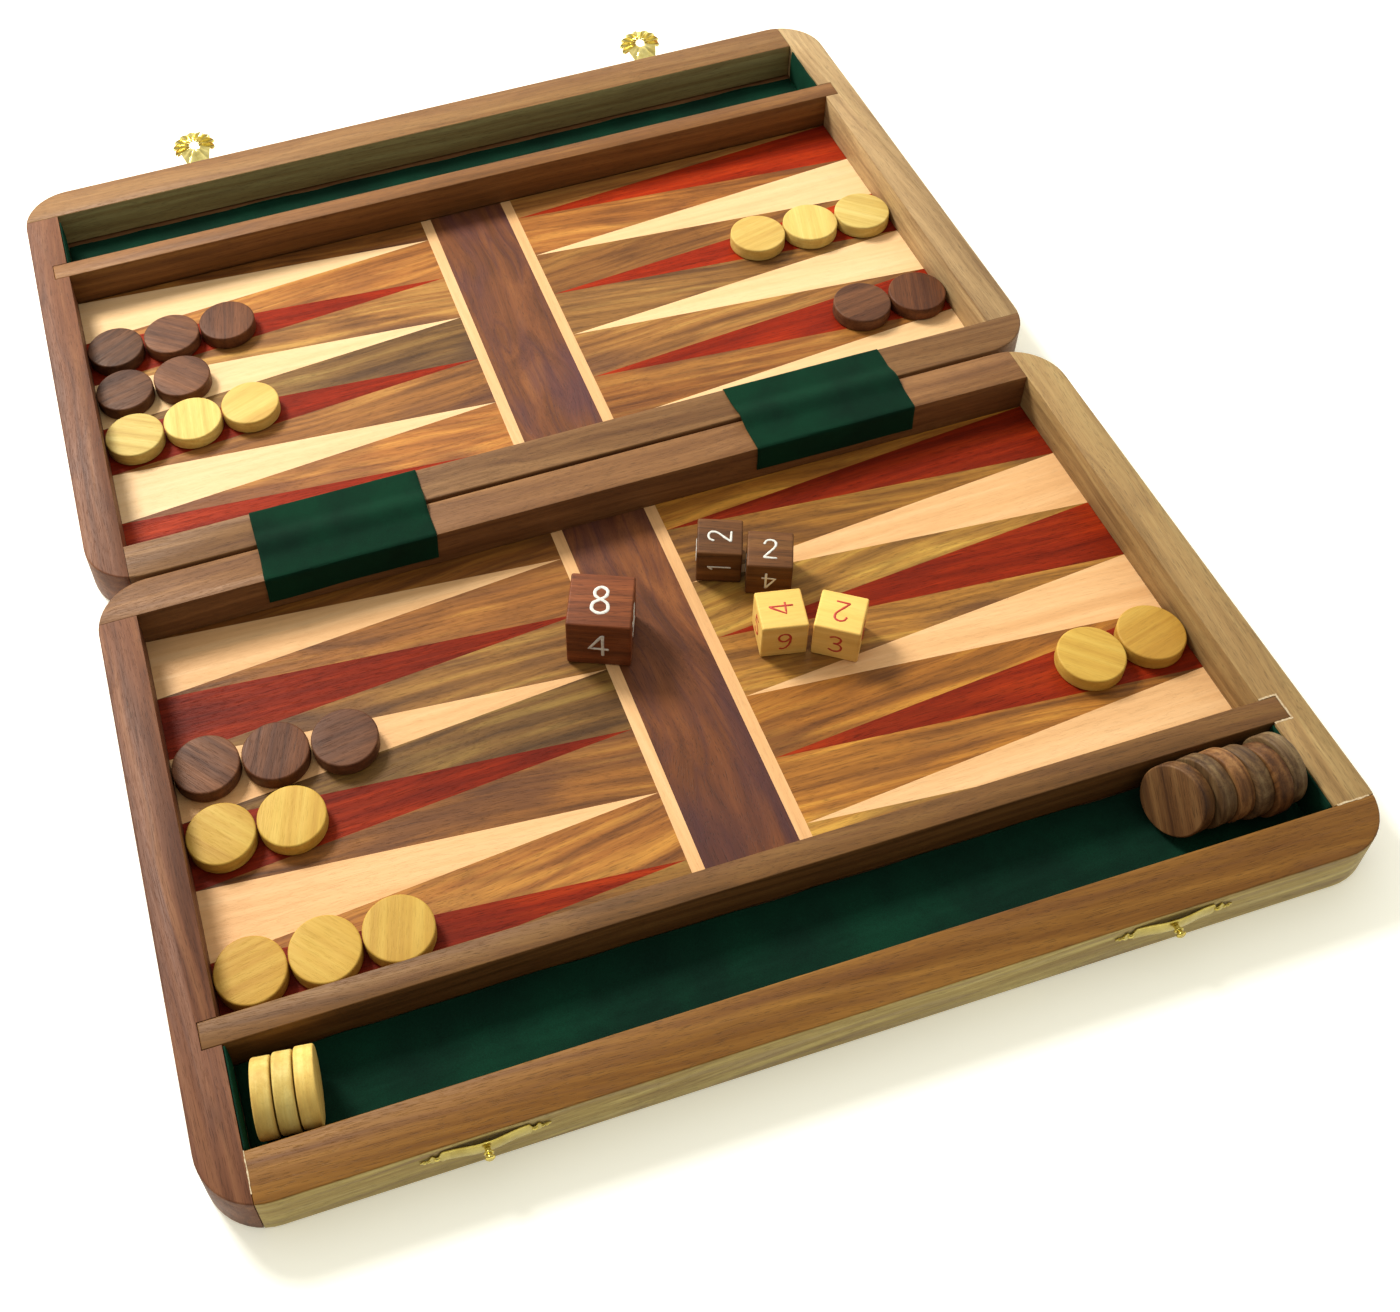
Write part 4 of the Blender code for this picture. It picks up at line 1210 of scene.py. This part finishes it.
# ---- stage ----
CAMERA_PLACE = (-0.1308, -0.4267, 0.5018)  # from the middle of the seam, at the rim
CAMERA_FORWARD = (0.1464, 0.6545, -0.7418)
CAMERA_ROLL = math.radians(5.25)
CAMERA_LENS = 45.29
CAMERA_SHIFT = (0.1477, -0.1461)
SKY_COLOUR = (1.0, 0.97, 0.86, 1.0)
SKY_FRONT = 0.15
SKY_BACK = 1.45
LAMP_COLOUR = (1.0, 0.97, 0.88)
# where each lamp stands, how wide it is, and its power in watts
LAMPS = {
    "key": ((-0.60, 1.00, 1.20), 0.50, 34.0),
    "fill": ((0.5, -0.9, 1.3), 1.2, 0.4),
}


def build_camera():
    data = bpy.data.cameras.new("camera")
    data.lens = CAMERA_LENS
    data.sensor_width = 36.0
    data.sensor_fit = "HORIZONTAL"
    data.shift_x, data.shift_y = CAMERA_SHIFT
    data.clip_start = 0.01
    camera = bpy.data.objects.new("camera", data)
    link(camera)
    camera.matrix_world = camera_matrix()
    bpy.context.scene.camera = camera


def camera_matrix():
    """Looks down along the forward direction, rolled a little off level."""
    forward = Vector(CAMERA_FORWARD).normalized()
    level = forward.cross(Vector((0, 0, 1))).normalized()
    right = Matrix.Rotation(CAMERA_ROLL, 3, forward) @ level
    up = right.cross(forward)
    turn = Matrix((right, up, -forward)).transposed().to_4x4()
    return Matrix.Translation(Vector(CAMERA_PLACE) + Vector((0, SEAM_Y, RIM_Z))) @ turn


def area_light(name, location, size, power):
    """A round lamp that points at the middle of the case."""
    data = bpy.data.lights.new(name, "AREA")
    data.shape = "DISK"
    data.size = size
    data.energy = power
    data.color = LAMP_COLOUR
    lamp = bpy.data.objects.new(name, data)
    link(lamp)
    lamp.location = location
    lamp.rotation_euler = (-Vector(location)).to_track_quat("-Z", "Y").to_euler()


def build_world():
    """A pale surround, brighter behind the case than on the viewer's side."""
    world = bpy.data.worlds.new("studio")
    bpy.context.scene.world = world
    world.use_nodes = True
    tree = world.node_tree
    background = tree.nodes["Background"]
    background.inputs["Color"].default_value = SKY_COLOUR
    direction = tree.nodes.new("ShaderNodeTexCoord")
    split = tree.nodes.new("ShaderNodeSeparateXYZ")
    tree.links.new(direction.outputs["Generated"], split.inputs[0])
    strength = tree.nodes.new("ShaderNodeMapRange")
    for socket, value in zip(strength.inputs[1:5], (-1.0, 1.0, SKY_FRONT, SKY_BACK)):
        socket.default_value = value
    tree.links.new(split.outputs[1], strength.inputs[0])
    tree.links.new(strength.outputs[0], background.inputs["Strength"])


def build_stage():
    bm = bmesh.new()
    bmesh.ops.create_grid(bm, x_segments=2, y_segments=2, size=4.0)
    floor = new_piece("floor", bm, floor_material())
    build_world()
    for name, (location, size, power) in LAMPS.items():
        area_light(name, location, size, power)


def main():
    bpy.context.scene.view_settings.view_transform = "Standard"
    build_camera()
    build_stage()
    build_rails()
    build_fillers()
    for half in FIELDS:
        build_field(half)
    cloth = velvet("velvet_tray", linear(4, 34, 24), linear(6, 48, 33), 0.12)
    for half in FIELDS:
        build_lining(half, cloth)
    strap_cloth = velvet("velvet_strap", linear(2, 31, 20), linear(3, 46, 29), 0.10)
    for side, _ in SIDES:
        build_strap(side, strap_cloth)
    metal = brass("brass_polished", linear(246, 230, 152), 0.14)
    tarnished = brass("brass_tarnished", linear(208, 190, 104), 0.20)
    for side, _ in SIDES:
        build_hasp(side, metal)
        build_hasp_plate(side, metal)
        build_strike(side, tarnished)
    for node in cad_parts:
        if node.startswith(("hinge_leaf", "hinge_pin", "hasp_pin")):
            coat(node, metal)
    woods = {
        "light": wood("checker_wood_light", "light_checker"),
        "pale": wood("checker_wood_pale", "pale_checker"),
        "dark": wood("checker_wood_dark", "dark_checker"),
        "mixed": wood("checker_wood_mixed", "mixed_checker"),
    }
    build_checkers(woods)
    build_tray_discs(woods)
    dice_woods = {
        "light": wood("die_wood_light", "light_die"),
        "dark": wood("die_wood_dark", "brown_die"),
        "cube": wood("cube_wood", "dark_die"),
    }
    white = paint("numeral_white", linear(232, 232, 226))
    red = paint("numeral_red", linear(198, 54, 36))
    for i, node in enumerate(DICE):
        kind = node.split("_")[1]
        build_die(node, dice_woods[kind], red if kind == "light" else white, 3.1 * i + 0.7)


main()
